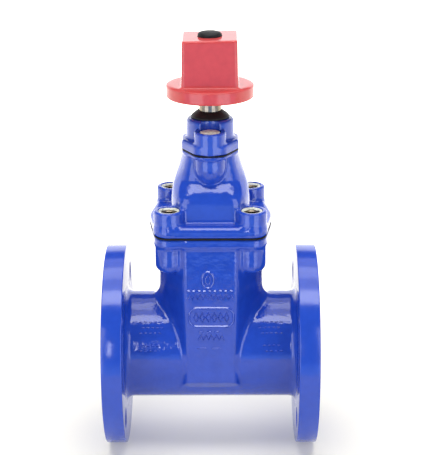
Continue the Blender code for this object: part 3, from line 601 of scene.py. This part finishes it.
coarse_paint = {"ior": 1.55, "mottle": 0.06, "mottle_size": 9, "bumps": ((3.0, 0.13), (11, 0.26))}
smooth_paint = {"ior": 1.55, "mottle": 0.04, "bumps": ((1.6, 0.008), (6, 0.02))}
marks_paint = {"ior": 1.8, "mottle": 0.04, "bumps": ((1.4, 0.10), (4, 0.12))}
cap_paint = {"ior": 1.44, "mottle": 0.05, "bumps": ((3.0, 0.05), (9, 0.14))}
moulded = {"ior": 1.3, "mottle": 0.2, "bumps": ((0.8, 0.01), (4, 0.03))}
wedge_skin = {"mottle": 0.2, "bumps": ((1.0, 0.02), (6, 0.04))}
waxy = {"mottle": 0.25, "mottle_size": 2.5, "bumps": ((1.6, 0.15), (4, 0.3))}
plastic = {"mottle": 0.05, "bumps": ((1.5, 0.01),)}
machined = {"metallic": 1.0, "mottle": 0.12, "bumps": ((0.7, 0.006),)}
tarnished = {"metallic": 1.0, "mottle": 0.25, "mottle_size": 3, "bumps": ((0.9, 0.01),)}
as_cast = {"metallic": 0.6, "mottle": 0.25, "bumps": ((1.2, 0.06), (5, 0.1))}

blue = finish_of("blue_epoxy_cast", BLUE, 0.10, **coarse_paint)
blue_rim = finish_of("blue_epoxy_turned", BLUE, 0.15, **smooth_paint)
blue_marks = finish_of("blue_epoxy_marks", BLUE, 0.12, **marks_paint)
red = finish_of("red_epoxy_cast", RED, 0.14, **cap_paint)
rubber = finish_of("moulded_rubber", BLACK, 0.5, **moulded)
liner = finish_of("wedge_rubber_skin", SKIN_BLACK, 0.55, **wedge_skin)
wax = finish_of("sealing_wax_skin", WAX, 0.34, **waxy)
nylon = finish_of("natural_nylon", NYLON, 0.45, **plastic)
brass = finish_of("machined_brass", BRASS, 0.28, **machined)
steel = finish_of("turned_steel", STEEL, 0.27, **tarnished)
iron = finish_of("ductile_iron_cast", IRON, 0.6, **as_cast)

CARRIED_OVER = {
    "blue_epoxy": blue,
    "red_epoxy": red,
    "black_rubber": rubber,
    "sealing_wax": wax,
    "nylon": nylon,
    "brass": brass,
    "stainless_steel": steel,
    "ductile_iron": iron,
}
for part in frame["record"]["subparts"]:
    node = frame["nodes"][part["node"]]
    node.data.materials.clear()
    node.data.materials.append(CARRIED_OVER[part["material_slot"]])
frame["nodes"]["wedge_rubber"].data.materials[0] = liner

# ------------------------------------------------------------------ pieces


def flanges(bm):
    profile = [
        (BORE_RADIUS - 6, FLANGE_BACK + 4, 0),
        (FLANGE_RADIUS - 30, FLANGE_BACK + 4, 0),
        (FLANGE_RADIUS - 34, FLANGE_BACK, 0),
        (FLANGE_RADIUS, FLANGE_BACK, 1),
        (FLANGE_RADIUS, FLANGE_RIM, 1),
        (RAISED_FACE_RADIUS, FLANGE_RIM, 0.4),
        (RAISED_FACE_RADIUS, FLANGE_FACE, 0.5),
        (BORE_RADIUS - 6, FLANGE_FACE, 0),
    ]
    section = soften(profile, 1.0)
    for side in SIDES:
        place = Matrix.Translation((0, 0, PIPE_Z)) @ X_AXIS
        add_turned(bm, [(r, side * x) for r, x in section], 128, place)


body = cast(
    "valve_body_casting",
    body_casting,
    (-FLANGE_FACE + 12, -67, 28),
    (FLANGE_FACE - 12, 67, JOINT_Z),
    1.15,
    blue,
)
bonnet = cast(
    "bonnet_casting", bonnet_casting, (-60, -56, BONNET_LOW), (60, 56, BONNET_TOP), 0.95, blue
)
gland = cast("gland_casting", gland_casting, (-28, -39, GLAND_LOW), (28, 39, GLAND_TOP), 0.7, blue)
cap = cast("stem_cap_casting", cap_casting, (-41, -41, CAP_LOW), (41, 41, CAP_TOP), 0.8, red)


def along_pipe(radius, low, high, sides=96):
    at = Matrix.Translation((0, 0, PIPE_Z)) @ X_AXIS

    def fill(bm):
        for side in SIDES:
            near, far = sorted((side * low, side * high))
            add_turned(bm, [(0, near), (radius, near), (radius, far), (0, far)], sides, at)

    return fill


def rods(spots, radius, low, high, sides=32):
    def fill(bm):
        for x, y in spots:
            profile = [(0, low), (radius, low), (radius, high), (0, high)]
            add_turned(bm, profile, sides, Matrix.Translation((x, y, 0)))

    return fill


def hexagon(side_x, side_y, front_x, front_y):
    half = [(front_x, -front_y), (side_x, -side_y), (side_x, side_y), (front_x, front_y)]
    return half + [(-x, -y) for x, y in half]


def bolt_holes(bm):
    for side, quarter in product(SIDES, range(4)):
        angle = math.pi / 4 + quarter * math.pi / 2
        y = BOLT_CIRCLE_RADIUS * math.cos(angle)
        z = PIPE_Z + BOLT_CIRCLE_RADIUS * math.sin(angle)
        low, high = FLANGE_BACK, FLANGE_RIM
        hole, mouth = BOLT_HOLE_RADIUS, BOLT_HOLE_RADIUS + 4.5
        profile = [(0, low - 4), (mouth, low - 4), (hole, low + 0.5)]
        profile += [(hole, high - 0.5), (mouth, high + 4), (0, high + 4)]
        profile = [(radius, side * x) for radius, x in profile]
        add_turned(bm, profile, 40, Matrix.Translation((0, y, z)) @ X_AXIS)


def wedge_slot(bm):
    """The room the wedge moves in: its tapered plate, 0.4 mm larger all round."""
    radius = WEDGE_SLOT_RADIUS
    angles = [math.pi * (1 + i / 32) for i in range(33)]
    outline = [(radius * math.cos(a), PIPE_Z + radius * math.sin(a)) for a in angles]
    outline += [(radius, JOINT_Z + 2), (-radius, JOINT_Z + 2)]
    rings = []
    for side in SIDES:
        halves = [WEDGE_SLOT_HALF + (z - WEDGE_TIP_Z) * WEDGE_TAPER for _, z in outline]
        spots = [Vector((side * half, y, z)) for half, (y, z) in zip(halves, outline)]
        rings.append([bm.verts.new(spot * MM) for spot in spots])
    skin(bm, rings)


def box(bm, low, high):
    outline = [(low[0], low[1]), (high[0], low[1]), (high[0], high[1]), (low[0], high[1])]
    add_prism(bm, outline, low[2], high[2])


def dome_cavity(bm):
    heights = [(BONNET_LOW - 1, 29.5, 33.5), (250, 28, 32), (259, 25.5, 27.6), (268, 22, 24.4)]
    rings = []
    for z, half_x, half_y in heights:
        outline = rounded(hexagon(half_x, 0.3 * half_y, 0.84 * half_x, half_y), [4.0] * 8, 2)
        rings.append([bm.verts.new(Vector((x, y, z)) * MM) for x, y in outline])
    skin(bm, rings)


def guide_rails(bm):
    across, outwards, (low, high) = GUIDE_RAIL
    for side_x, side_y in product(SIDES, SIDES):
        xs = sorted(side_x * x for x in across)
        ys = sorted(side_y * y for y in outwards)
        box(bm, (xs[0], ys[0], low), (xs[1], ys[1], high))


SCREWS = [(sx * SCREW_AT[0], sy * SCREW_AT[1]) for sx, sy in product(SIDES, SIDES)]
GLAND_SCREWS = [(0, side * GLAND_SCREW_Y) for side in SIDES]

OVER = 5  # how far a cutting tool reaches past the face that it cuts


def chamber_inside(bm):
    add_prism(bm, hexagon(*CHAMBER_INSIDE), PIPE_Z, JOINT_Z + OVER)


def guide_grooves(bm):
    half_x, half_y, low = GUIDE_GROOVE
    box(bm, (-half_x, -half_y, low), (half_x, half_y, JOINT_Z + 3))


def cap_square_hole(bm):
    half = CAP_SQUARE_HOLE
    box(bm, (-half, -half, CAP_LOW - OVER), (half, half, CAP_SQUARE_TOP))


def bore(radius, low, high, sides=64):
    return rods([(0, 0)], radius, low, high, sides)


wax_wells = rods(
    GLAND_SCREWS, GLAND_RECESS_RADIUS - 0.5, GLAND_SCREW_SEAT - 0.5, GLAND_LUG_TOP - 4
)


CUTS = [
    (body, "UNION", flanges),
    (body, "DIFFERENCE", chamber_inside),
    (body, "UNION", along_pipe(*SEAT_RING)),
    (body, "UNION", guide_rails),
    (body, "DIFFERENCE", wedge_slot),
    (body, "DIFFERENCE", guide_grooves),
    (body, "DIFFERENCE", along_pipe(BORE_RADIUS, 0.01, FLANGE_FACE + OVER, 128)),
    (body, "DIFFERENCE", bolt_holes),
    (body, "DIFFERENCE", rods(SCREWS, BODY_SCREW_HOLE, 190, JOINT_Z + OVER)),
    (bonnet, "DIFFERENCE", dome_cavity),
    (bonnet, "DIFFERENCE", bore(STEM_HOLE, 262, BONNET_TOP + OVER)),
    (bonnet, "DIFFERENCE", bore(BUSH_HOLE, BUSH_SEAT, BONNET_TOP + OVER)),
    (bonnet, "DIFFERENCE", rods(SCREWS, BONNET_SCREW_HOLE, BONNET_LOW - OVER, SCREW_SEAT + 1)),
    (bonnet, "DIFFERENCE", rods(GLAND_SCREWS, GLAND_SCREW_THREAD_HOLE, 272, BONNET_TOP + OVER)),
    (gland, "DIFFERENCE", bore(GLAND_BORE_RADIUS, GLAND_LOW - OVER, GLAND_SHELF)),
    (gland, "DIFFERENCE", bore(GLAND_STEM_HOLE, GLAND_SHELF - 1, GLAND_TOP + OVER)),
    (gland, "DIFFERENCE", rods(GLAND_SCREWS, GLAND_SCREW_HOLE, GLAND_LOW - OVER, GLAND_SCREW_SEAT)),
    (gland, "DIFFERENCE", wax_wells),
    (cap, "DIFFERENCE", cap_square_hole),
    (cap, "DIFFERENCE", bore(CAP_BOLT_HOLE, CAP_SQUARE_TOP - 1, CAP_WELL_LOW + 1, 32)),
    (cap, "DIFFERENCE", bore(CAP_WELL_RADIUS, CAP_WELL_LOW, CAP_TOP - 1, 32)),
    (cap, "DIFFERENCE", bore(CAP_PLUG_RADIUS + 0.3, CAP_TOP - 1.2, CAP_TOP + OVER)),
]
for piece, operation, fill in CUTS:
    carve(piece, operation, fill)

# The flanges' machined faces, rims and holes are painted more evenly than the castings.
body.data.materials.clear()
body.data.materials.append(blue)
body.data.materials.append(blue_rim)
for face in body.data.polygons:
    x, y, z = face.center / MM
    face.material_index = int(abs(x) > FLANGE_BACK - 0.02 and math.hypot(y, z - PIPE_Z) > 58.5)


def settled(piece, node, on):
    """Rides a piece on a body, in place of a CAD node if one is named."""
    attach(piece, on)
    if node:
        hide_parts(node)


settled(body, "valve_body", "housing")
settled(bonnet, "bonnet", "housing")
settled(gland, "gland", "housing")
settled(cap, "stem_cap", "stem_set")


def slab_outline(name, outline, low, high, swell, finish):
    """A flat gasket whose edge is pressed out a little."""

    def fill(bm):
        swollen = [(x, y, 1 + swell / math.hypot(x, y)) for x, y in outline]
        middle = [(x * grown, y * grown) for x, y, grown in swollen]
        edge = 0.35 * (high - low)
        layers = [(outline, low), (middle, low + edge), (middle, high - edge), (outline, high)]
        rings = [[bm.verts.new(Vector((x, y, z)) * MM) for x, y in ring] for ring, z in layers]
        skin(bm, rings)

    return build(name, fill, finish, 30)


GAP = 0.3  # between two pieces that touch, as in the CAD
low = JOINT_Z + GAP
gasket = slab_outline("bonnet_gasket_sheet", RIM_OUTLINE, low, low + GASKET, 0.35, rubber)
carve(gasket, "DIFFERENCE", lambda bm: add_prism(bm, hexagon(*GASKET_INSIDE), low - 2, low + 4))
carve(gasket, "DIFFERENCE", rods(SCREWS, BONNET_SCREW_HOLE, low - 2, low + 4))
settled(gasket, "bonnet_gasket", "housing")
low = BONNET_TOP + GAP
gasket = slab_outline("gland_gasket_sheet", lozenge(0.3), low, low + 0.8, 0.2, rubber)
carve(gasket, "DIFFERENCE", bore(17.5, low - 2, low + 4))
carve(gasket, "DIFFERENCE", rods(GLAND_SCREWS, GLAND_SCREW_HOLE, low - 2, low + 4))
settled(gasket, "gland_gasket", "housing")


def ragged(profile, sides, amounts, at, seed):
    """Fills with a turned ring whose marked points wander in and out and up and down."""

    def fill(bm):
        add_turned(bm, profile, sides, at)
        bm.verts.ensure_lookup_table()
        for ring, (out, up) in enumerate(amounts):
            for i in range(sides):
                vertex = bm.verts[ring * sides + i]
                angle = 2 * math.pi * i / sides
                wave = math.sin(3 * angle + seed) + 0.7 * math.sin(5 * angle + 2.1 * seed + ring)
                wave += 0.5 * math.sin(8 * angle + 3.7 * seed + 2 * ring)
                spoke = vertex.co - at.translation * MM
                spoke.z = 0
                vertex.co += spoke.normalized() * (out * wave * MM) + Vector((0, 0, up * wave * MM))

    return fill


CORNERS = {
    "front_right": (1, -1),
    "rear_right": (1, 1),
    "rear_left": (-1, 1),
    "front_left": (-1, -1),
}
for corner, (sx, sy) in CORNERS.items():
    at = Matrix.Translation((sx * SCREW_AT[0], sy * SCREW_AT[1], SCREW_SEAT + GAP))
    head = [
        (0, -36, 0),
        (4.6, -36, 0),
        (5.5, -35, 0),
        (5.5, 0, 0),
        (9.0, 0, 0.5),
        (9.0, 11.7, 1),
        (6.6, 11.7, 0.5),
        (5.9, 11.0, 0),
        (0, 11.0, 0),
    ]
    screw = turned(f"bonnet_screw_{corner}_turned", soften(head, 0.8), steel, 40, at)

    def socket(bm, at=at):
        add_turned(bm, [(0, 5.7), (5.6, 5.7), (5.6, 13), (0, 13)], 6, at)

    carve(screw, "DIFFERENCE", socket)
    settled(screw, f"bonnet_screw_{corner}", "housing")
    up = 11.7 + GAP
    profile = [(7.3, up), (9.55, up), (9.55, up + 1.5), (8.7, up + 1.7), (7.7, up + 0.8)]
    wander = [(0.35, 0), (0, 0), (0, 0.12), (0.1, 0.15), (0.4, 0.12)]
    ring = ragged(profile, 48, wander, at, 1.3 * sx + 2.4 * sy + 4)
    seal = build(f"wax_ring_{corner}", ring, wax, 60)
    settled(seal, f"bonnet_screw_seal_{corner}", "housing")

for end, side in zip(("front", "rear"), SIDES):
    at = Matrix.Translation((0, side * GLAND_SCREW_Y, 309.1))

    def plug(bm, at=at, side=side):
        profile = [(0, 0), (9.2, 0), (9.2, 2.2), (8.6, 2.9)]
        profile += [(7.6, 3.0), (5.0, 3.5), (2.5, 3.75), (0, 3.8)]
        add_turned(bm, profile, 56, at)
        for vertex in bm.verts:
            spot = vertex.co / MM - at.translation
            if spot.z > 2.5:
                wave = math.sin(0.9 * spot.x + side) * math.cos(0.7 * spot.y + 2 * side)
                vertex.co.z += 0.16 * wave * MM

    seal = build(f"wax_plug_{end}", plug, wax, 50)
    settled(seal, f"gland_screw_seal_{end}", "housing")

guard_profile = [
    (10.7, 0, 0),
    (17.6, 0, 0.6),
    (17.6, 1.3, 0.8),
    (16.2, 2.9, 1),
    (13.4, 5.0, 1),
    (11.8, 6.2, 0.8),
    (10.7, 6.4, 0.3),
]
at = Matrix.Translation((0, 0, GLAND_TOP + GAP))
guard = turned("dust_guard_ring", soften(guard_profile, 1.2), rubber, 72, at)
settled(guard, "dust_guard", "housing")

plug_profile = [
    (0, -6.5, 0),
    (9.2, -6.5, 0.5),
    (9.2, -0.9, 0),
    (CAP_PLUG_RADIUS, -0.9, 0.3),
    (CAP_PLUG_RADIUS, 1.7, 1),
    (9.3, 3.3, 1),
    (5.5, 3.95, 1),
    (0, 4.15, 0),
]
at = Matrix.Translation((0, 0, CAP_TOP))
plug_head = turned("cap_plug_moulded", soften(plug_profile, 1.6), rubber, 72, at, 50)
settled(plug_head, "cap_plug", "stem_set")

# ------------------------------------------------------------------ raised marks on the castings


def add_ridge(bm, path, width, height, seat):
    """A raised line with a rounded back along (u, v) points, closed if it ends at its start."""
    closed = path[0] == path[-1]
    spots = [Vector(p) for p in (path[:-1] if closed else path)]
    count = len(spots)
    rings = []
    section = [(1, 0), (0.28, 0.9), (0, 1), (-0.28, 0.9), (-1, 0)]

    def ring_at(spot, across, scale):
        ring = []
        for side, lift in section:
            u, v = spot + across * (side * width / 2 * scale)
            ring.append(bm.verts.new(seat(u, v, lift * height * scale) * MM))
        for side in (0.98, -0.98):
            u, v = spot - across * (side * width / 2 * scale)
            ring.append(bm.verts.new(seat(u, v, -0.6) * MM))
        return ring

    for i, spot in enumerate(spots):
        before = spots[i - 1] if closed or i else spot
        after = spots[(i + 1) % count] if closed or i < count - 1 else spot
        along = (after - before).normalized()
        across = Vector((-along.y, along.x))
        if not closed and i == 0:
            rings.append(ring_at(spot - along * width * 0.35, across, 0.45))
        rings.append(ring_at(spot, across, 1))
        if not closed and i == count - 1:
            rings.append(ring_at(spot + along * width * 0.35, across, 0.45))
    skin(bm, rings, closed)


def oval(u, v, half_u, half_v, count=28):
    angles = [2 * math.pi * (i / count) for i in range(count)]
    points = [(u + half_u * math.cos(a), v + half_v * math.sin(a)) for a in angles]
    return [*points, points[0]]


def on_panel(side):
    """u runs to the right across the panel, v is the height."""

    def seat(u, v, lift):
        return Vector((-side * u, side * (CHAMBER_FRONT[1] + lift), v))

    return seat


def on_neck(side, end):
    """u runs along the pipe from the flange's foot, v is the angle in degrees above the horizon."""

    def seat(u, v, lift):
        radius = NECK_RADIUS + lift
        angle = math.radians(v)
        y, z = side * radius * math.cos(angle), PIPE_Z + radius * math.sin(angle)
        return Vector((end * (72 - u), y, z))

    return seat


def panel_marks(bm, seat):
    """Two ovals, zigzags, a framed row of diamonds and bars: a pattern, not letters."""

    def dash(u, v, length, lean=0.0, width=2.2, height=1.0):
        half, rise = length / 2, lean / 2
        add_ridge(bm, [(u - half, v - rise), (u + half, v + rise)], width, height, seat)

    def zigzag(low_u, count, pitch, low, high, width):
        points = [(low_u + pitch * i, high if i % 2 else low) for i in range(count)]
        add_ridge(bm, points, width, 0.9, seat)

    add_ridge(bm, oval(-2.5, 179.5, 5.2, 7.8), 2.2, 1.0, seat)
    add_ridge(bm, oval(-2.5, 179.5, 2.2, 4.4, 20), 1.4, 0.8, seat)
    zigzag(-21.2, 19, 2.35, 160.2, 165.0, 1.7)
    for i in range(9):
        dash(-20.4 + 4.9 * i, 168.6, 2.0, 0.5 if i % 2 else -0.4)
    border = [(21.0, 133.6), (21.0, 152.0), (-20.0, 152.0), (-20.0, 133.6)]
    border = rounded(border, [7.5] * 4)
    add_ridge(bm, [*border, border[0]], 2.2, 1.0, seat)
    for i in range(6):
        u = -13.4 + 5.6 * i
        diamond = [(u, 147.6), (u + 2.2, 142.8), (u, 138.0), (u - 2.2, 142.8)]
        add_ridge(bm, [*diamond, diamond[0]], 1.4, 0.9, seat)
    zigzag(-11.6, 11, 2.4, 120.4, 125.4, 1.6)
    for u in (-9.0, -1.4, 5.6):
        dash(u, 128.6, 3.2, 0.4, 1.8)
    for u in (-8.5, 5.4):
        dash(u, 111.9, 8.0, 0.3, 1.0, 0.7)


def neck_marks(bm, seat):
    """Rows of short bars, set like bricks."""
    for row, v in enumerate((45.0, 39.0, 33.0, 20.0, 14.0)):
        for i in range(5 if row < 3 else 4):
            u = 5.6 + 4.4 * i + 2.2 * (row % 2)
            add_ridge(bm, [(u, v), (u + 2.0, v)], 1.7, 0.9, seat)


def all_marks(bm):
    for side in SIDES:
        panel_marks(bm, on_panel(side))
        for end in SIDES:
            neck_marks(bm, on_neck(side, end))


marks = build("casting_marks", all_marks, blue_marks, 25)
settled(marks, None, "housing")

# ------------------------------------------------------------------ stage, lights and camera


def plug_in(tree, value, socket):
    """Links a socket to another, or sets it to a number."""
    if isinstance(value, (int, float)):
        socket.default_value = value
    else:
        tree.links.new(value, socket)


def math_node(tree, operation, *values):
    node = tree.nodes.new("ShaderNodeMath")
    node.operation = operation
    for value, socket in zip(values, node.inputs):
        plug_in(tree, value, socket)
    return node.outputs[0]


def smooth_step(tree, value, low, high, at_low, at_high):
    """Goes smoothly from at_low to at_high as the value goes from low to high."""
    node = tree.nodes.new("ShaderNodeMapRange")
    node.interpolation_type = "SMOOTHSTEP"
    settings = {"From Min": low, "From Max": high, "To Min": at_low, "To Max": at_high}
    for name, number in settings.items():
        node.inputs[name].default_value = number
    plug_in(tree, value, node.inputs["Value"])
    return node.outputs["Result"]


def split_of(tree, output):
    """The X, Y and Z of one of the texture coordinates."""
    place = tree.nodes.new("ShaderNodeTexCoord")
    split = tree.nodes.new("ShaderNodeSeparateXYZ")
    tree.links.new(place.outputs[output], split.inputs[0])
    return split.outputs


FLOOR_FRONT = -0.47
FLOOR_SIDE = 4
FLOOR_BACK = 6
corners = [
    (-FLOOR_SIDE, FLOOR_FRONT, 0),
    (FLOOR_SIDE, FLOOR_FRONT, 0),
    (FLOOR_SIDE, FLOOR_BACK, 0),
    (-FLOOR_SIDE, FLOOR_BACK, 0),
]
floor_mesh = bpy.data.meshes.new("floor")
floor_mesh.from_pydata(corners, [], [(0, 1, 2, 3)])
floor = add("floor", floor_mesh)
floor_finish = bpy.data.materials.new("floor")
floor_finish.use_nodes = True
floor_tree = floor_finish.node_tree
floor_shader = floor_tree.nodes["Principled BSDF"]
floor_shader.inputs["Base Color"].default_value = (0.75, 0.73, 0.66, 1)
floor_shader.inputs["Roughness"].default_value = 0.9
floor_shader.inputs["Specular IOR Level"].default_value = 0.1
# The colour of the floor's painted glow.
floor_shader.inputs["Emission Color"].default_value = (1.0, 0.98, 0.93, 1)

# Painted light: the floor glows, faintly on the table in front of and under the valve and strongly
# on the sweep behind and beside it.
at = split_of(floor_tree, "Object")
aside = math_node(floor_tree, "ABSOLUTE", at["X"])
away = math_node(floor_tree, "MULTIPLY_ADD", aside, 0.6, at["Y"])
floor_painted_glow = smooth_step(floor_tree, away, 0.30, 0.85, 0.20, 1.5)
floor_tree.links.new(floor_painted_glow, floor_shader.inputs["Emission Strength"])
floor_mesh.materials.append(floor_finish)

world = bpy.data.worlds.new("studio")
scene.world = world
world.use_nodes = True
tree = world.node_tree
towards = split_of(tree, "Generated")
rays = tree.nodes.new("ShaderNodeLightPath").outputs

backdrop = smooth_step(tree, towards["Y"], -0.55, 0.05, 0.0, 1.7)
below_lamps = smooth_step(tree, towards["Z"], 0.35, 0.46, 1.0, 0.05)
backdrop = math_node(tree, "MULTIPLY", backdrop, below_lamps)
background = tree.nodes["Background"]
background.inputs["Color"].default_value = (0.98, 0.985, 1.0, 1)
strength = math_node(tree, "MAXIMUM", backdrop, rays["Is Camera Ray"])
tree.links.new(strength, background.inputs["Strength"])

# The darker front of the room, seen only as a bluish haze in the paint.
room = smooth_step(tree, towards["Z"], -0.338, -0.318, 0.1, 1.9)
below_eyes = smooth_step(tree, towards["Z"], -0.18, 0.05, 1.0, 0.2)
in_front = smooth_step(tree, towards["Y"], -0.45, 0.0, 1.0, 0.0)
for factor in (below_eyes, in_front, rays["Is Glossy Ray"]):
    room = math_node(tree, "MULTIPLY", room, factor)
haze = tree.nodes.new("ShaderNodeBackground")
haze.inputs["Color"].default_value = (0.34, 0.54, 1.0, 1)
tree.links.new(room, haze.inputs["Strength"])
both = tree.nodes.new("ShaderNodeAddShader")
tree.links.new(background.outputs[0], both.inputs[0])
tree.links.new(haze.outputs[0], both.inputs[1])
tree.links.new(both.outputs[0], tree.nodes["World Output"].inputs["Surface"])


def area_light(name, at, towards, width, height, radiance, glossy=True):
    light = bpy.data.lights.new(name, "AREA")
    light.shape = "RECTANGLE"
    light.size, light.size_y = width, height
    light.energy = radiance * math.pi * width * height
    made = bpy.data.objects.new(name, light)
    made.location = at
    aim = Vector(towards) - Vector(at)
    made.rotation_euler = aim.to_track_quat("-Z", "Y").to_euler()
    made.visible_glossy = glossy
    made.visible_camera = False
    scene.collection.objects.link(made)


for side in SIDES:
    area_light(f"softbox_{side}", (side * 0.75, -1.06, 0.32), (0, 0, 0.25), 0.80, 1.5, 2.6)

# Name, distance behind the valve, height, depth and radiance of each lamp over the valve.
OVERHEAD = [
    ("overhead_front", -0.43, 1.62, 0.50, 5.9),
    ("overhead_middle", 0.02, 1.64, 0.36, 1.9),
    ("overhead_back", 0.50, 1.62, 0.56, 3.2),
    ("overhead_far", 1.15, 1.62, 0.74, 1.1),
]
for name, y, z, depth, radiance in OVERHEAD:
    area_light(name, (0, y, z), (0, y, 0), 1.5, depth, radiance)
area_light("left_lamp", (-0.265, -1.6, 0.55), (0, 0, 0.1), 0.12, 0.42, 9.0)
area_light("floor_fill", (0, 3.4, 2.6), (0, 3.4, 0), 6.0, 4.5, 1.25, False)

CAMERA_SPOT = (0.0115, -1.309, 0.651)
CAMERA_DOWN = 18.52
CAMERA_ROLL = -0.15
SENSOR_WIDTH = 36
CAMERA_LENS = SENSOR_WIDTH * 1466 / 455  # for a picture whose longer side spans 455

camera_data = bpy.data.cameras.new("camera")
camera_data.sensor_width = SENSOR_WIDTH
camera_data.lens = CAMERA_LENS
camera_data.clip_end = 50
camera = bpy.data.objects.new("camera", camera_data)
camera.location = CAMERA_SPOT
tilt = Matrix.Rotation(math.radians(90 - CAMERA_DOWN), 4, "X")
roll = Matrix.Rotation(math.radians(CAMERA_ROLL), 4, "Z")
camera.rotation_euler = (tilt @ roll).to_euler()
scene.collection.objects.link(camera)
scene.camera = camera
scene.view_settings.view_transform = "Standard"
